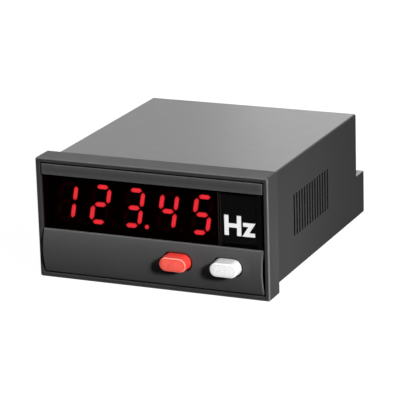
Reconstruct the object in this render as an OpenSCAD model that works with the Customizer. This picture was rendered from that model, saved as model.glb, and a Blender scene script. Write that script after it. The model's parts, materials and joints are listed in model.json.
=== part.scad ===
// Digital panel meter in a 96 x 48 mm front, for a 92 x 45 mm panel cut-out.
// X runs to the right, Y from the panel to the rear and Z up, in millimetres.
// The origin is the centre of the cut-out, on the panel's front face.

/* [Front frame] */
// Width of the front frame
front_w = 96; // [95:0.5:104]
// Height of the front frame
front_h = 48; // [47:0.5:54]
// Depth of the front frame ahead of the panel
front_d = 10; // [9.5:0.5:11.5]
// Width of the rim round the front opening
rim_w = 1.8; // [1.4:0.1:2.2]
// Radius of the frame's front edges
front_edge_r = 0.7; // [0.3:0.1:1.2]
// Radius of the frame's four corners
front_corner_r = 1; // [0.8:0.1:2]
// Thickness of the ledge that the window seats on
ledge_t = 1.5; // [1:0.1:2]
// How far the ledge stands inside the case outline
ledge_inset = 1.2; // [0.8:0.1:1.6]
// How far the frame stands out beyond the case at each side
overlap_w = 2.5; // [2.2:0.1:3]
// How far it stands out above and below the case
overlap_h = 1.8; // [1.7:0.1:2.6]
// How far the case plugs into the frame
socket_d = 3; // [2:0.1:3.5]

/* [Case] */
// Depth of the case behind the panel, above the step
case_d = 93; // [85:1:120]
// Wall thickness of the case
case_wall = 2; // [1.6:0.1:2.4]
// Radius of the case's long edges
case_edge_r = 0.9; // [0.4:0.1:1.4]
// How far the lower part of the rear stands out
step_d = 9; // [8:0.5:14]
// Height of that lower part
step_h = 17.9; // [16:0.1:20]
// Width of a snap lug
lug_w = 10; // [6:1:16]
// Distance from the middle to a snap lug
lug_x = 30; // [20:1:34]
// How far a snap lug stands out
lug_h = 0.4; // [0.3:0.05:0.6]

/* [Vents] */
// Number of vent slots in each side
vent_count = 14; // [6:1:18]
// Distance from one slot to the next
vent_pitch = 2.8; // [2.4:0.1:3.2]
// Width of a slot
vent_w = 1.4; // [0.8:0.1:1.8]
// Length of a slot
vent_l = 16.7; // [8:0.1:18]
// Distance from the panel to the first slot
vent_start = 22.3; // [15:0.1:30]

/* [Window] */
// Gap all round between the window and the rim
groove_w = 0.6; // [0.3:0.1:1]
// How far the window's face lies behind the rim
window_recess = 1; // [0.8:0.1:1.4]
// Thickness of the window
window_t = 2; // [1.5:0.1:2.5]
// Height of the trim strip above the window
trim_h = 4.2; // [3:0.1:5]
// Thickness of the trim strip
trim_t = 0.8; // [0.4:0.1:0.9]
// Height of the cover that carries the buttons
cover_h = 17.3; // [16:0.1:18]
// Thickness of that cover's arched sheet
cover_t = 1; // [0.8:0.1:1.2]
// How far the cover arches forward
cover_bulge = 1.8; // [1.2:0.1:2.4]
// Height of the foot along each of the cover's long edges
cover_foot = 1.2; // [1:0.1:1.6]
// Thickness of the collar round each button, behind the sheet
collar_t = 0.8; // [0.6:0.1:1]

/* [Display] */
// Numerals shown, from left to right
shown = [1, 2, 3, 4, 5];
// Digit that the decimal point follows
point_after = 3; // [1:1:5]
// Distance from one digit to the next
digit_pitch = 14.1; // [13.6:0.1:14.4]
// How far a digit module stays inside the view, above and below
module_margin = 0.85; // [0.8:0.05:1.6]
// Depth of a digit module
module_d = 7.2; // [7:0.1:8]
// How far a numeral stays inside its module, above and below
numeral_margin = 2; // [1.6:0.1:3]
// Width of a numeral, upright
numeral_w = 7.9; // [6.4:0.1:8.4]
// Width of a segment
segment_w = 2.1; // [1.4:0.1:2.4]
// Gap between neighbouring segments
segment_gap = 0.35; // [0.2:0.05:0.6]
// Depth of a segment's light window
segment_d = 0.5; // [0.3:0.1:1]
// Lean of the numerals in degrees
numeral_lean = 10; // [0:1:12]
// Radius of the decimal point
point_r = 1; // [0.6:0.1:1.1]
// Decimal point to the right of the numeral's middle
point_x = 5.1; // [4.8:0.1:5.6]
// Thickness of the unit card
card_t = 0.4; // [0.2:0.1:0.8]
// Width of the bar between the digits and the unit card
divider_w = 0.5; // [0.3:0.1:1]
// Thickness of the mask between the digits and its outer wall
mask_wall = 0.8; // [0.6:0.1:1.2]
// Height of the posts that the display board is screwed to
post_h = 1.2; // [1:0.1:1.8]
// Radius of those posts
post_r = 1.5; // [1.3:0.1:1.6]

/* [Buttons] */
// Distance from the cover's right end to the white button
button_inset = 14; // [12:0.1:18]
// Distance between the two buttons
button_pitch = 20.6; // [18:0.1:22]
// Distance from the window's lower edge down to the buttons
button_drop = 7.3; // [6.8:0.1:8.5]
// Half the height of a button where it leaves the cover
button_r = 3; // [2.5:0.1:3.3]
// Half the height of a button at its face
button_face_r = 2.7; // [2.2:0.1:2.9]
// Length of a button's straight middle
button_flat = 5.5; // [4:0.1:6.5]
// How far a button stands out of the cover
button_reach = 4.2; // [3:0.1:6]
// Rounding of a button's face edge
button_edge_r = 0.5; // [0.2:0.1:0.8]
// Travel of a button
button_travel = 1; // [0.5:0.1:1.1]
// Lip that keeps a button in
button_lip = 0.7; // [0.4:0.1:0.9]
// Thickness of that lip
button_lip_t = 1.2; // [0.8:0.1:1.5]
// Side of a push switch
switch_w = 6; // [5:0.1:6.5]
// Height of a push switch's body
switch_h = 3.5; // [3:0.1:3.8]
// Radius of its plunger
plunger_r = 1.7; // [1.2:0.1:2]
// How far the plunger stands out of its body
plunger_reach = 1.3; // [1.2:0.1:1.4]

/* [Boards] */
// Thickness of the circuit boards
board_t = 1.6; // [1:0.1:2]
// Room under the main board
under_board = 2; // [1.6:0.1:2.4]
// Room above the input board
over_board = 6.2; // [5.2:0.1:7]
// Depth of the input board
input_board_d = 56; // [40:1:70]
// Gap between the display board and the boards behind it
board_gap = 1.5; // [1.3:0.1:2.5]
// How far the guide rails stand in from the wall
rail_w = 1.6; // [1.2:0.1:2]
// Height of a guide rail
rail_h = 1.2; // [0.8:0.1:1.6]
// Pins in each board-to-board header
header_pins = 10; // [6:1:12]
// Distance between header pins
pin_pitch = 2.54; // [2:0.01:2.54]
// Side of a header pin
header_pin_w = 0.64; // [0.5:0.02:0.7]

/* [Parts on the boards] */
// Width of the heat sink
sink_w = 20; // [14:1:24]
// Height of the heat sink
sink_h = 16; // [14:1:24]
// Number of fins on the heat sink
sink_fins = 7; // [4:1:9]
// Length of a fin
sink_fin_l = 6; // [4:0.5:8]
// Distance from the heat sink to the terminals
sink_gap = 28; // [26:1:34]
// Radius of the supply capacitor
supply_can_r = 6.3; // [4:0.1:7]
// Height of the supply capacitor
supply_can_h = 20; // [12:1:26]
// Radius of the filter capacitor
filter_can_r = 4; // [3:0.1:5]
// Height of the filter capacitor
filter_can_h = 12; // [8:1:20]
// Distance from the capacitors to the terminals
can_gap = 6; // [4:0.5:8]
// Side of the processor chip
processor_w = 10; // [9.6:0.1:12]
// Width of the converter chip
converter_w = 10; // [9.6:0.1:12]
// Depth of the converter chip
converter_d = 7.5; // [5:0.1:9]
// Distance from the display board to the chips
chip_gap = 18; // [14:1:24]
// Length of the clock crystal
crystal_l = 11; // [8:0.5:12]
// Width of the clock crystal
crystal_w = 4.6; // [3.5:0.1:5]
// Height of the clock crystal
crystal_h = 3.5; // [2.5:0.1:4.5]

/* [Transformer] */
// Width of the laminated core
core_w = 30; // [24:1:34]
// Height of the core
core_h = 25; // [20:0.5:27]
// Thickness of the lamination stack
core_d = 15; // [10:0.5:18]
// Width of the core's middle limb
limb_w = 10; // [8:0.5:11]
// How far the winding stands out of the stack
coil_over = 4.5; // [2:0.5:6]
// Gap between the core and the guide rail beside it
core_side_gap = 4.9; // [2:0.1:8]
// Distance from the transformer to the terminals
transformer_gap = 8; // [7:0.5:12]

/* [Terminals] */
// Distance from one terminal to the next
pole_pitch = 5.08; // [5:0.01:5.1]
// Number of supply terminals
supply_poles = 6; // [2:1:6]
// Depth of a terminal block
block_d = 18; // [17:0.5:22]
// Width of a wire entry
entry_w = 3.4; // [3:0.1:3.6]
// Height of a wire entry
entry_h = 3.6; // [3:0.1:3.8]
// How far a wire entry's mouth flares up and down
entry_flare = 0.6; // [0.4:0.1:0.8]
// Height of a wire entry's middle above the board
entry_z = 5.2; // [5:0.1:5.6]
// Width of a wire clamp
clamp_w = 4.1; // [3.8:0.1:4.2]
// Height of a wire clamp
clamp_h = 5; // [4.8:0.1:5.4]
// Depth of a wire clamp
clamp_d = 5.4; // [4.8:0.1:6]
// Wall thickness of a wire clamp
clamp_wall = 0.6; // [0.5:0.1:0.7]
// Radius of a terminal screw's head
screw_head_r = 1.9; // [1.7:0.05:1.95]
// Radius of a terminal screw's shank
screw_r = 1.2; // [1:0.1:1.3]
// Depth of a terminal screw's head below the block's top
screw_sink = 0.8; // [0.4:0.1:1.2]

/* [Hidden] */
$fn = 48;

// Clearances
fit_gap = 0.1;       // between pieces that slide together
running_gap = 0.15;  // round a moving button
seat_gap = 0.05;     // ahead of a button's lip at rest
cut = 1;             // how far a cutter runs past a face

// Depths along Y, from the front to the rear
front_y = -front_d;
window_front_y = front_y + window_recess;
window_rear_y = window_front_y + window_t;
ledge_rear_y = window_rear_y + ledge_t;
board_front_y = window_rear_y + module_d;
board_rear_y = board_front_y + board_t;
mask_rear_y = board_front_y - post_h;
cover_crest_y = window_front_y - cover_t - cover_bulge;
deck_front_y = board_rear_y + board_gap;
case_inner_y = case_d - case_wall;
rear_y = case_d + step_d;

// Radius of the cover's arched face, and how far its axis lies behind its crest
cover_r = (pow(cover_h / 2, 2) + pow(cover_bulge, 2)) / (2 * cover_bulge);

// Front opening, window and the areas on it
opening_w = front_w - 2 * rim_w;
opening_h = front_h - 2 * rim_w;
window_w = opening_w - 2 * groove_w;
window_h = opening_h - 2 * groove_w;
window_top = window_h / 2;
view_top = window_top - trim_h;
view_bottom = -window_top + cover_h;
view_z = (view_top + view_bottom) / 2;
rim_edge_r = 0.3;

// Case, socket and the ledge in front of it
case_w = front_w - 2 * overlap_w;
case_h = front_h - 2 * overlap_h;
inner_w = case_w - 2 * case_wall;
inner_h = case_h - 2 * case_wall;
socket_w = case_w + 2 * fit_gap;
socket_h = case_h + 2 * fit_gap;
ledge_w = case_w - 2 * ledge_inset;
ledge_h = case_h - 2 * ledge_inset;
step_z = -case_h / 2 + step_h;
lug_d = 1;
lug_y = -socket_d / 2;

// Display
digit_count = len(shown);
module_h = view_top - view_bottom - 2 * module_margin;
numeral_h = module_h - 2 * numeral_margin;
module_w = digit_pitch - 2 * fit_gap;
mask_w = ledge_w - 2 * fit_gap;
mask_h = ledge_h - 2 * fit_gap;
row_left = -mask_w / 2 + mask_wall;
row_w = digit_count * digit_pitch;
card_left = row_left + row_w + divider_w;
card_right = mask_w / 2 - mask_wall;
display_board_w = inner_w - 6 * fit_gap;
display_board_h = inner_h - 6 * fit_gap;
post_x = display_board_w / 2 - 2 * post_r;
post_z = display_board_h / 2 - post_r - fit_gap;
screw_bite = 2;
board_screw_r = 0.9;
board_screw_head_r = 1.6;
board_screw_head_h = 1;
cross_l = 2;
cross_w = 0.5;
module_pin_w = 0.5;
module_pin_inset = 2.4;
module_pin_row = module_h / 2 - module_pin_inset;
module_pin_out = 1.2;

// Buttons
button_z = view_bottom - button_drop;
button_x = window_w / 2 - button_inset - button_pitch;
button_face_y = cover_crest_y - button_reach;
button_lip_y = window_rear_y + seat_gap;
button_rear_y = board_front_y - switch_h - plunger_reach;
lip_r = button_r + button_lip;
pocket_r = lip_r + 2 * running_gap;
stem_r = button_r - 1.1;
plunger_l = plunger_reach + 1.2;
switch_leg_w = 0.9;
switch_leg_t = 0.7;
switch_leg_x = switch_w / 2 + 0.2;
switch_leg_z = switch_w / 2 - 0.75;

// Boards inside the case
main_bottom = -case_h / 2 + case_wall + under_board;
main_top = main_bottom + board_t;
input_bottom = case_h / 2 - case_wall - over_board;
input_top = input_bottom + board_t;
deck_w = inner_w - 4 * fit_gap;
rail_y = deck_front_y + 2;
header_x = -inner_w / 4;
header_body = 2.5;
header_w = header_pins * pin_pitch;
chip_y = deck_front_y + chip_gap + processor_w / 2;
chip_x = inner_w / 8;
chip_stand = 0.1;
processor_h = 1.5;
processor_leads = 11;
converter_h = 2.3;
converter_leads = 12;
lead_pitch = 0.8;
lead_w = 0.36;
lead_t = 0.2;
lead_reach = 1.1;
lead_rise = 0.6;
transformer_x = inner_w / 2 - rail_w - core_side_gap - core_w / 2;

// Heat sink and the regulator on it
sink_base_t = 1.5;
sink_fin_t = 1;
sink_edge_gap = 1;
sink_y = rear_y - block_d - sink_gap - sink_base_t - sink_fin_l;
sink_x = -inner_w / 2 + rail_w + sink_edge_gap + sink_w / 2;
regulator_w = 10;
leg_w = 0.8;
leg_t = 0.6;
leg_y = -3;

// Terminals
block_h = step_z - main_top;
block_front_y = rear_y - block_d;
block_end = 0.7;
block_web = 1.5;
supply_w = supply_poles * pole_pitch + 2 * block_end;
signal_room = inner_w - supply_w - block_web - 2 * (fit_gap + block_end);
signal_poles = floor(signal_room / pole_pitch);
signal_x = -inner_w / 2 + fit_gap + block_end;
supply_x = inner_w / 2 - fit_gap - block_end - supply_poles * pole_pitch;
pole_y = case_d + step_d / 2;
clamp_z = main_top + entry_z;
pocket_w = clamp_w + 2 * fit_gap;
strip_w = 1.2;
strip_t = 0.8;
strip_y = block_front_y + 2.2;
strip_z = clamp_z - clamp_h / 2;
pin_below = 1.4;
screw_head_h = 1.8;
slot_w = 0.7;
screw_top = step_z - screw_sink;
screw_foot = clamp_z + clamp_h / 2 - 2 * clamp_wall;

// Segments a to g of each numeral from 0 to 9
NUMERALS = [
    [1, 1, 1, 1, 1, 1, 0], [0, 1, 1, 0, 0, 0, 0], [1, 1, 0, 1, 1, 0, 1],
    [1, 1, 1, 1, 0, 0, 1], [0, 1, 1, 0, 0, 1, 1], [1, 0, 1, 1, 0, 1, 1],
    [1, 0, 1, 1, 1, 1, 1], [1, 1, 1, 0, 0, 0, 0], [1, 1, 1, 1, 1, 1, 1],
    [1, 1, 1, 1, 0, 1, 1]
];
// Middle of each segment in half widths and half heights, and whether it stands upright
SEGMENTS = [
    [0, 1, false], [1, 0.5, true], [1, -0.5, true], [0, -1, false],
    [-1, -0.5, true], [-1, 0.5, true], [0, 0, false]
];

// ---- Helpers ----

// A box between two limits on each axis
module span(x, y, z) {
    translate([x[0], y[0], z[0]])
        cube([x[1] - x[0], y[1] - y[0], z[1] - z[0]]);
}

// A shape drawn as (x, z), carried along Y between two limits
module along_y(from, to) {
    translate([0, to, 0]) rotate([90, 0, 0]) linear_extrude(to - from) children();
}

// A shape drawn as (y, z), carried along X between two limits
module along_x(from, to) {
    translate([from, 0, 0]) rotate([90, 0, 90]) linear_extrude(to - from) children();
}

module rounded_rect(w, h, r) {
    square([w - 2 * r, h], center = true);
    square([w, h - 2 * r], center = true);
    for (x = [-1, 1], z = [-1, 1])
        translate([x * (w / 2 - r), z * (h / 2 - r)]) circle(r);
}

// A rectangle from y = 0 forward to -d, with its two front corners rounded
module nosed_rect(w, d, r) {
    translate([-w / 2, -d + r]) square([w, d - r]);
    translate([-w / 2 + r, -d]) square([w - 2 * r, d]);
    for (x = [-1, 1]) translate([x * (w / 2 - r), -d + r]) circle(r);
}

module stadium(flat, r) {
    square([flat, 2 * r], center = true);
    for (x = [-1, 1]) translate([x * flat / 2, 0]) circle(r);
}

function button_place(i) = [button_x + i * button_pitch, 0, button_z];

function arc(middle, r, from, to, steps) = [
    for (i = [0 : steps])
        let (a = from + (to - from) * i / steps)
        middle + r * [cos(a), sin(a)]
];

// ---- Front ----

module front_frame() {
    color([0.22, 0.22, 0.23]) difference() {
        intersection() {
            along_y(front_y, 0) rounded_rect(front_w, front_h, front_corner_r);
            translate([0, 0, -front_h / 2]) linear_extrude(front_h)
                nosed_rect(front_w, front_d, front_edge_r);
            rotate([0, 90, 0]) translate([0, 0, -front_w / 2]) linear_extrude(front_w)
                nosed_rect(front_h, front_d, front_edge_r);
        }
        // front opening, down to the seat of the window
        along_y(front_y - cut, window_rear_y) rounded_rect(opening_w, opening_h, rim_edge_r);
        // way through the ledge
        along_y(window_rear_y - cut, ledge_rear_y + cut) square([ledge_w, ledge_h], center = true);
        // socket for the case
        along_y(ledge_rear_y, cut) square([socket_w, socket_h], center = true);
        // pockets that the snap lugs click into
        for (x = [-1, 1], z = [-1, 1])
            translate([x * lug_x, lug_y, z * socket_h / 2])
                cube([lug_w + 4 * fit_gap, lug_d + 4 * fit_gap, 2 * (lug_h + fit_gap)], center = true);
    }
}

module display_filter() {
    color([0.16, 0.02, 0.03]) difference() {
        along_y(window_front_y, window_rear_y) rounded_rect(window_w, window_h, rim_edge_r);
        button_ways(window_front_y, window_rear_y);
    }
}

module upper_trim() {
    color([0.27, 0.27, 0.28])
        span([-window_w / 2, window_w / 2], [window_front_y - trim_t, window_front_y],
             [view_top, window_top]);
}

// An arched sheet, open at both ends, whose two faces are parts of long cylinders along X.
// A foot along each long edge and a collar round each button stand on the window.
module button_cover() {
    color([0.27, 0.27, 0.28]) difference() {
        intersection() {
            span([-window_w / 2, window_w / 2], [cover_crest_y, window_front_y], [-window_top, view_bottom]);
            cover_roll(cover_r, 0);
        }
        difference() {
            intersection() {
                span([-window_w / 2 - cut, window_w / 2 + cut], [cover_crest_y, window_front_y + cut],
                     [cover_foot - window_top, view_bottom - cover_foot]);
                cover_roll(cover_r - cover_t, cut);
            }
            for (i = [0, 1])
                translate(button_place(i)) along_y(cover_crest_y - cut, window_front_y + 2 * cut)
                    stadium(button_flat, button_r + running_gap + collar_t);
        }
        button_ways(cover_crest_y, window_front_y);
    }
}

// A cylinder about the cover's axis, which runs past the cover's ends
module cover_roll(r, past) {
    translate([-window_w / 2 - past, cover_crest_y + cover_r, (view_bottom - window_top) / 2])
        rotate([0, 90, 0]) cylinder(h = window_w + 2 * past, r = r, $fn = 180);
}

module button_ways(from, to) {
    for (i = [0, 1])
        translate(button_place(i)) along_y(from - cut, to + cut)
            stadium(button_flat, button_r + running_gap);
}

// Black carrier of the digits and the card, held between the frame's ledge and the case
module display_mask() {
    color([0.03, 0.03, 0.03]) difference() {
        union() {
            along_y(window_rear_y, ledge_rear_y) square([mask_w, mask_h], center = true);
            along_y(ledge_rear_y, -socket_d)
                square([socket_w - 4 * fit_gap, socket_h - 4 * fit_gap], center = true);
            along_y(-socket_d, mask_rear_y)
                square([inner_w - 2 * fit_gap, inner_h - 2 * fit_gap], center = true);
            for (x = [-1, 1], z = [-1, 1])
                translate([x * post_x, 0, z * post_z]) along_y(mask_rear_y, board_front_y) circle(post_r);
        }
        span([row_left, row_left + row_w], [window_rear_y - cut, mask_rear_y + cut],
             [view_z - module_h / 2 - fit_gap, view_z + module_h / 2 + fit_gap]);
        span([card_left - fit_gap, card_right + fit_gap], [window_rear_y - cut, window_rear_y + card_t],
             [view_z - module_h / 2 - fit_gap, view_z + module_h / 2 + fit_gap]);
        for (i = [0, 1])
            translate(button_place(i)) along_y(window_rear_y - cut, mask_rear_y + cut)
                stadium(button_flat, pocket_r);
        for (x = [-1, 1], z = [-1, 1])
            translate([x * post_x, 0, z * post_z])
                along_y(mask_rear_y - screw_bite, board_front_y + cut) circle(board_screw_r);
    }
}

module unit_card() {
    color([0.06, 0.06, 0.06])
        span([card_left, card_right], [window_rear_y, window_rear_y + card_t],
             [view_z - module_h / 2, view_z + module_h / 2]);
}

// ---- Digits ----

function leaned(p) = [p[0] + p[1] * tan(numeral_lean), p[1]];

// A bar with pointed ends, upright or level, leaned with the numeral
module segment_outline(s) {
    half = [(numeral_w - segment_w) / 2, (numeral_h - segment_w) / 2];
    at = [s[0] * half[0], s[1] * half[1]];
    long = (s[2] ? half[1] / 2 : half[0]) - segment_gap;
    thin = segment_w / 2;
    bar = [
        [-long, 0], [thin - long, thin], [long - thin, thin],
        [long, 0], [long - thin, -thin], [thin - long, -thin]
    ];
    polygon([for (p = bar) leaned(at + (s[2] ? [p[1], p[0]] : p))]);
}

module point_outline() {
    translate([point_x, (segment_w - numeral_h) / 2]) circle(point_r);
}

function digit_x(i) = row_left + (i + 0.5) * digit_pitch;

module at_digit(i) {
    translate([digit_x(i), 0, view_z]) children();
}

module digit_module(i) {
    color([0.1, 0.1, 0.1]) at_digit(i) difference() {
        union() {
            along_y(window_rear_y, board_front_y) square([module_w, module_h], center = true);
            for (x = [-2 : 2], z = [-1, 1])
                translate([x * pin_pitch, 0, z * module_pin_row])
                    along_y(board_front_y - cut, board_rear_y + module_pin_out)
                        square(module_pin_w, center = true);
        }
        along_y(window_rear_y - cut, window_rear_y + segment_d) {
            for (s = SEGMENTS) segment_outline(s);
            point_outline();
        }
    }
}

module segments(lit) {
    for (i = [0 : digit_count - 1]) at_digit(i)
        along_y(window_rear_y, window_rear_y + segment_d) {
            for (s = [0 : len(SEGMENTS) - 1])
                if ((NUMERALS[shown[i]][s] == 1) == lit) segment_outline(SEGMENTS[s]);
            if ((i + 1 == point_after) == lit) point_outline();
        }
}

module lit_segments() { color([1, 0.12, 0.16]) segments(true); }

module dark_segments() { color([0.16, 0.05, 0.06]) segments(false); }

// ---- Buttons ----

// Half of a button's section as (half height, y), closed along its middle
function button_section() = concat(
    [[0, button_face_y]],
    arc([button_face_r - button_edge_r, button_face_y + button_edge_r], button_edge_r, -90, 0, 6),
    [[button_r, cover_crest_y], [button_r, button_lip_y], [lip_r, button_lip_y],
     [lip_r, button_lip_y + button_lip_t], [stem_r, button_lip_y + button_lip_t],
     [stem_r, button_rear_y], [0, button_rear_y]]
);

// The section turned at both ends and carried straight between them
module button_cap() {
    section = button_section();
    for (side = [-1, 1]) translate([side * button_flat / 2, 0, 0])
        rotate([-90, 0, 0]) rotate_extrude() polygon(section);
    translate([-button_flat / 2, 0, 0]) rotate([90, 0, 90]) linear_extrude(button_flat)
        for (side = [-1, 1]) polygon([for (p = section) [p[1], side * p[0]]]);
}

module red_button() { color([0.95, 0.25, 0.2]) translate(button_place(0)) button_cap(); }

module white_button() { color([0.92, 0.92, 0.92]) translate(button_place(1)) button_cap(); }

module plunger() {
    along_y(button_rear_y, button_rear_y + plunger_l) circle(plunger_r);
}

module red_plunger() { color([0.1, 0.1, 0.1]) translate(button_place(0)) plunger(); }

module white_plunger() { color([0.1, 0.1, 0.1]) translate(button_place(1)) plunger(); }

module push_switch() {
    well_y = button_rear_y + plunger_l + button_travel + fit_gap;
    difference() {
        union() {
            along_y(board_front_y - switch_h, board_front_y) square(switch_w, center = true);
            for (x = [-1, 1], z = [-1, 1])
                translate([x * switch_leg_x, 0, z * switch_leg_z])
                    along_y(board_front_y - switch_leg_t, board_rear_y + module_pin_out)
                        square([switch_leg_w, switch_leg_t], center = true);
        }
        along_y(board_front_y - switch_h - cut, well_y) circle(plunger_r + fit_gap);
    }
}

module red_switch() { color([0.35, 0.35, 0.36]) translate(button_place(0)) push_switch(); }

module white_switch() { color([0.35, 0.35, 0.36]) translate(button_place(1)) push_switch(); }

// ---- Boards ----

module display_board() {
    color([0.05, 0.3, 0.15]) difference() {
        along_y(board_front_y, board_rear_y) square([display_board_w, display_board_h], center = true);
        for (x = [-1, 1], z = [-1, 1])
            translate([x * post_x, 0, z * post_z]) through_display_board() circle(board_screw_r + fit_gap);
        for (i = [0 : digit_count - 1], x = [-2 : 2], z = [-1, 1])
            at_digit(i) translate([x * pin_pitch, 0, z * module_pin_row])
                through_display_board() square(module_pin_w + 2 * fit_gap, center = true);
        for (i = [0, 1], x = [-1, 1], z = [-1, 1])
            translate(button_place(i) + [x * switch_leg_x, 0, z * switch_leg_z])
                through_display_board()
                    square([switch_leg_w + 2 * fit_gap, switch_leg_t + 2 * fit_gap], center = true);
        for (top = [main_top, input_top], i = [0 : header_pins - 1])
            translate([header_pin_x(i), 0, top + header_body / 2])
                through_display_board() square(header_pin_w + 2 * fit_gap, center = true);
    }
}

module through_display_board() {
    along_y(board_front_y - cut, board_rear_y + cut) children();
}

module board_screws() {
    color([0.7, 0.7, 0.72])
        for (x = [-1, 1], z = [-1, 1]) translate([x * post_x, 0, z * post_z]) difference() {
            union() {
                along_y(board_rear_y, board_rear_y + board_screw_head_h) circle(board_screw_head_r);
                along_y(mask_rear_y - screw_bite + fit_gap, board_rear_y + fit_gap)
                    circle(board_screw_r - seat_gap);
            }
            along_y(board_rear_y + board_screw_head_h / 2, board_rear_y + board_screw_head_h + cut)
                for (turn = [0, 90]) rotate(turn) square([cross_l, cross_w], center = true);
        }
}

module main_board() {
    color([0.05, 0.3, 0.15]) difference() {
        span([-deck_w / 2, deck_w / 2], [deck_front_y, case_inner_y - 2 * fit_gap],
             [main_bottom, main_top]);
        for (i = [-1 : 1])
            regulator_leg(i, fit_gap, [main_bottom - cut, main_top + cut]);
        for (x = pole_places())
            span([x - strip_w / 2 - fit_gap, x + strip_w / 2 + fit_gap],
                 [strip_y - fit_gap, strip_y + strip_t + fit_gap], [main_bottom - cut, main_top + cut]);
    }
}

module input_board() {
    color([0.05, 0.3, 0.15])
        span([-deck_w / 2, deck_w / 2], [deck_front_y, deck_front_y + input_board_d],
             [input_bottom, input_top]);
}

function header_pin_x(i) = header_x + (i - (header_pins - 1) / 2) * pin_pitch;

// A strip on a board's upper face, whose pins reach forward into the display board
module board_header(top) {
    union() {
        span([header_x - header_w / 2, header_x + header_w / 2],
             [deck_front_y, deck_front_y + header_body], [top, top + header_body]);
        for (i = [0 : header_pins - 1])
            translate([header_pin_x(i), 0, top + header_body / 2])
                along_y(board_front_y + 3 * fit_gap, deck_front_y + cut) square(header_pin_w, center = true);
    }
}

module main_header() { color([0.08, 0.08, 0.08]) board_header(main_top); }

module input_header() { color([0.08, 0.08, 0.08]) board_header(input_top); }

// ---- Parts on the boards ----

module at_transformer() {
    translate([transformer_x, block_front_y - transformer_gap - core_d / 2 - coil_over, main_top]) children();
}

// Side limbs and yokes are half as wide as the middle limb
module transformer_core() {
    half_limb = limb_w / 2;
    slot = (core_w - 2 * limb_w) / 2;
    color([0.35, 0.34, 0.33]) at_transformer() along_y(-core_d / 2, core_d / 2) difference() {
        translate([-core_w / 2, 0]) square([core_w, core_h]);
        for (side = [-1, 1])
            translate([side * (limb_w + slot) / 2 - slot / 2, half_limb]) square([slot, core_h - limb_w]);
    }
}

module transformer_coil() {
    slot = (core_w - 2 * limb_w) / 2;
    coil_w = core_w - limb_w - 2 * fit_gap;
    coil_h = core_h - limb_w - 2 * fit_gap;
    flange = 0.8;
    color([0.75, 0.45, 0.15]) at_transformer() translate([0, 0, limb_w / 2 + fit_gap]) difference() {
        union() {
            for (z = [0, coil_h - flange])
                span([-coil_w / 2, coil_w / 2], [-core_d / 2 - coil_over, core_d / 2 + coil_over],
                     [z, z + flange]);
            span([-coil_w / 2 + flange, coil_w / 2 - flange],
                 [flange - core_d / 2 - coil_over, core_d / 2 + coil_over - flange], [0, coil_h]);
        }
        span([-limb_w / 2 - fit_gap, limb_w / 2 + fit_gap],
             [-core_d / 2 - fit_gap, core_d / 2 + fit_gap], [-cut, coil_h + cut]);
    }
}

// An upright can with a crimped groove near its foot and a dished top
module can(r, h) {
    groove = 0.06 * r;
    rotate_extrude() polygon(concat(
        [[0, 0], [r, 0], [r, 0.1 * h]],
        arc([r, 0.14 * h], 0.04 * h, -90, -270, 6),
        arc([r - 0.1 * r, h - 0.1 * r], 0.1 * r, 0, 90, 4),
        [[0.75 * r, h - groove], [0, h - groove]]
    ));
}

module supply_capacitor() {
    color([0.12, 0.14, 0.3])
        translate([-chip_x, block_front_y - can_gap - supply_can_r, main_top])
            can(supply_can_r, supply_can_h);
}

module filter_capacitor() {
    color([0.12, 0.14, 0.3])
        translate([sink_x, block_front_y - can_gap - filter_can_r, main_top])
            can(filter_can_r, filter_can_h);
}

// A ribbed plate that stands on the board
module heat_sink() {
    color([0.75, 0.76, 0.78]) translate([sink_x, sink_y, main_top]) linear_extrude(sink_h) {
        translate([-sink_w / 2, 0]) square([sink_w, sink_base_t]);
        for (i = [0 : sink_fins - 1])
            translate([-sink_w / 2 + i * (sink_w - sink_fin_t) / (sink_fins - 1), 0])
                square([sink_fin_t, sink_base_t + sink_fin_l]);
    }
}

module regulator_leg(i, gap, z) {
    at = [sink_x + i * pin_pitch, sink_y + leg_y];
    span([at[0] - leg_w / 2 - gap, at[0] + leg_w / 2 + gap], [at[1] - gap, at[1] + leg_t + gap], z);
}

// A metal tab against the heat sink, a body on it and three legs
module voltage_regulator() {
    tab_t = 1.3;
    body_t = 4.5;
    foot_z = 3;
    body_h = 9;
    tab_h = sink_h - foot_z;
    color([0.12, 0.12, 0.12]) {
        translate([sink_x, sink_y, main_top + foot_z]) {
            span([-regulator_w / 2, regulator_w / 2], [-tab_t, 0], [0, tab_h]);
            span([-regulator_w / 2, regulator_w / 2], [-body_t, 0], [0, body_h]);
        }
        for (i = [-1 : 1]) regulator_leg(i, 0, [main_bottom - pin_below, main_top + foot_z + cut]);
    }
}

// A flat chip on a board's face, with gull-wing leads drawn as (outward, up) along its sides
module flat_chip(w, d, h, leads, sides) {
    bend = lead_reach / 3;
    lead = [
        [-lead_t, lead_rise - lead_t], [bend, lead_rise - lead_t], [bend, 0], [lead_reach, 0],
        [lead_reach, lead_t], [bend + lead_t, lead_t], [bend + lead_t, lead_rise], [-lead_t, lead_rise]
    ];
    span([-w / 2, w / 2], [-d / 2, d / 2], [chip_stand, h]);
    for (turn = sides, i = [0 : leads - 1])
        rotate([0, 0, turn])
            translate([(i - (leads - 1) / 2) * lead_pitch, (turn % 180 == 0 ? d : w) / 2, 0])
                along_x(-lead_w / 2, lead_w / 2) polygon(lead);
}

module processor_chip() {
    color([0.1, 0.1, 0.1]) translate([-chip_x, chip_y, main_top])
        flat_chip(processor_w, processor_w, processor_h, processor_leads, [0, 90, 180, 270]);
}

module clock_crystal() {
    color([0.75, 0.75, 0.77]) translate([chip_x, chip_y, main_top])
        linear_extrude(crystal_h) stadium(crystal_l - crystal_w, crystal_w / 2);
}

module converter_chip() {
    color([0.1, 0.1, 0.1]) translate([chip_x, chip_y, input_top])
        flat_chip(converter_w, converter_d, converter_h, converter_leads, [0, 180]);
}

// ---- Case ----

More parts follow.
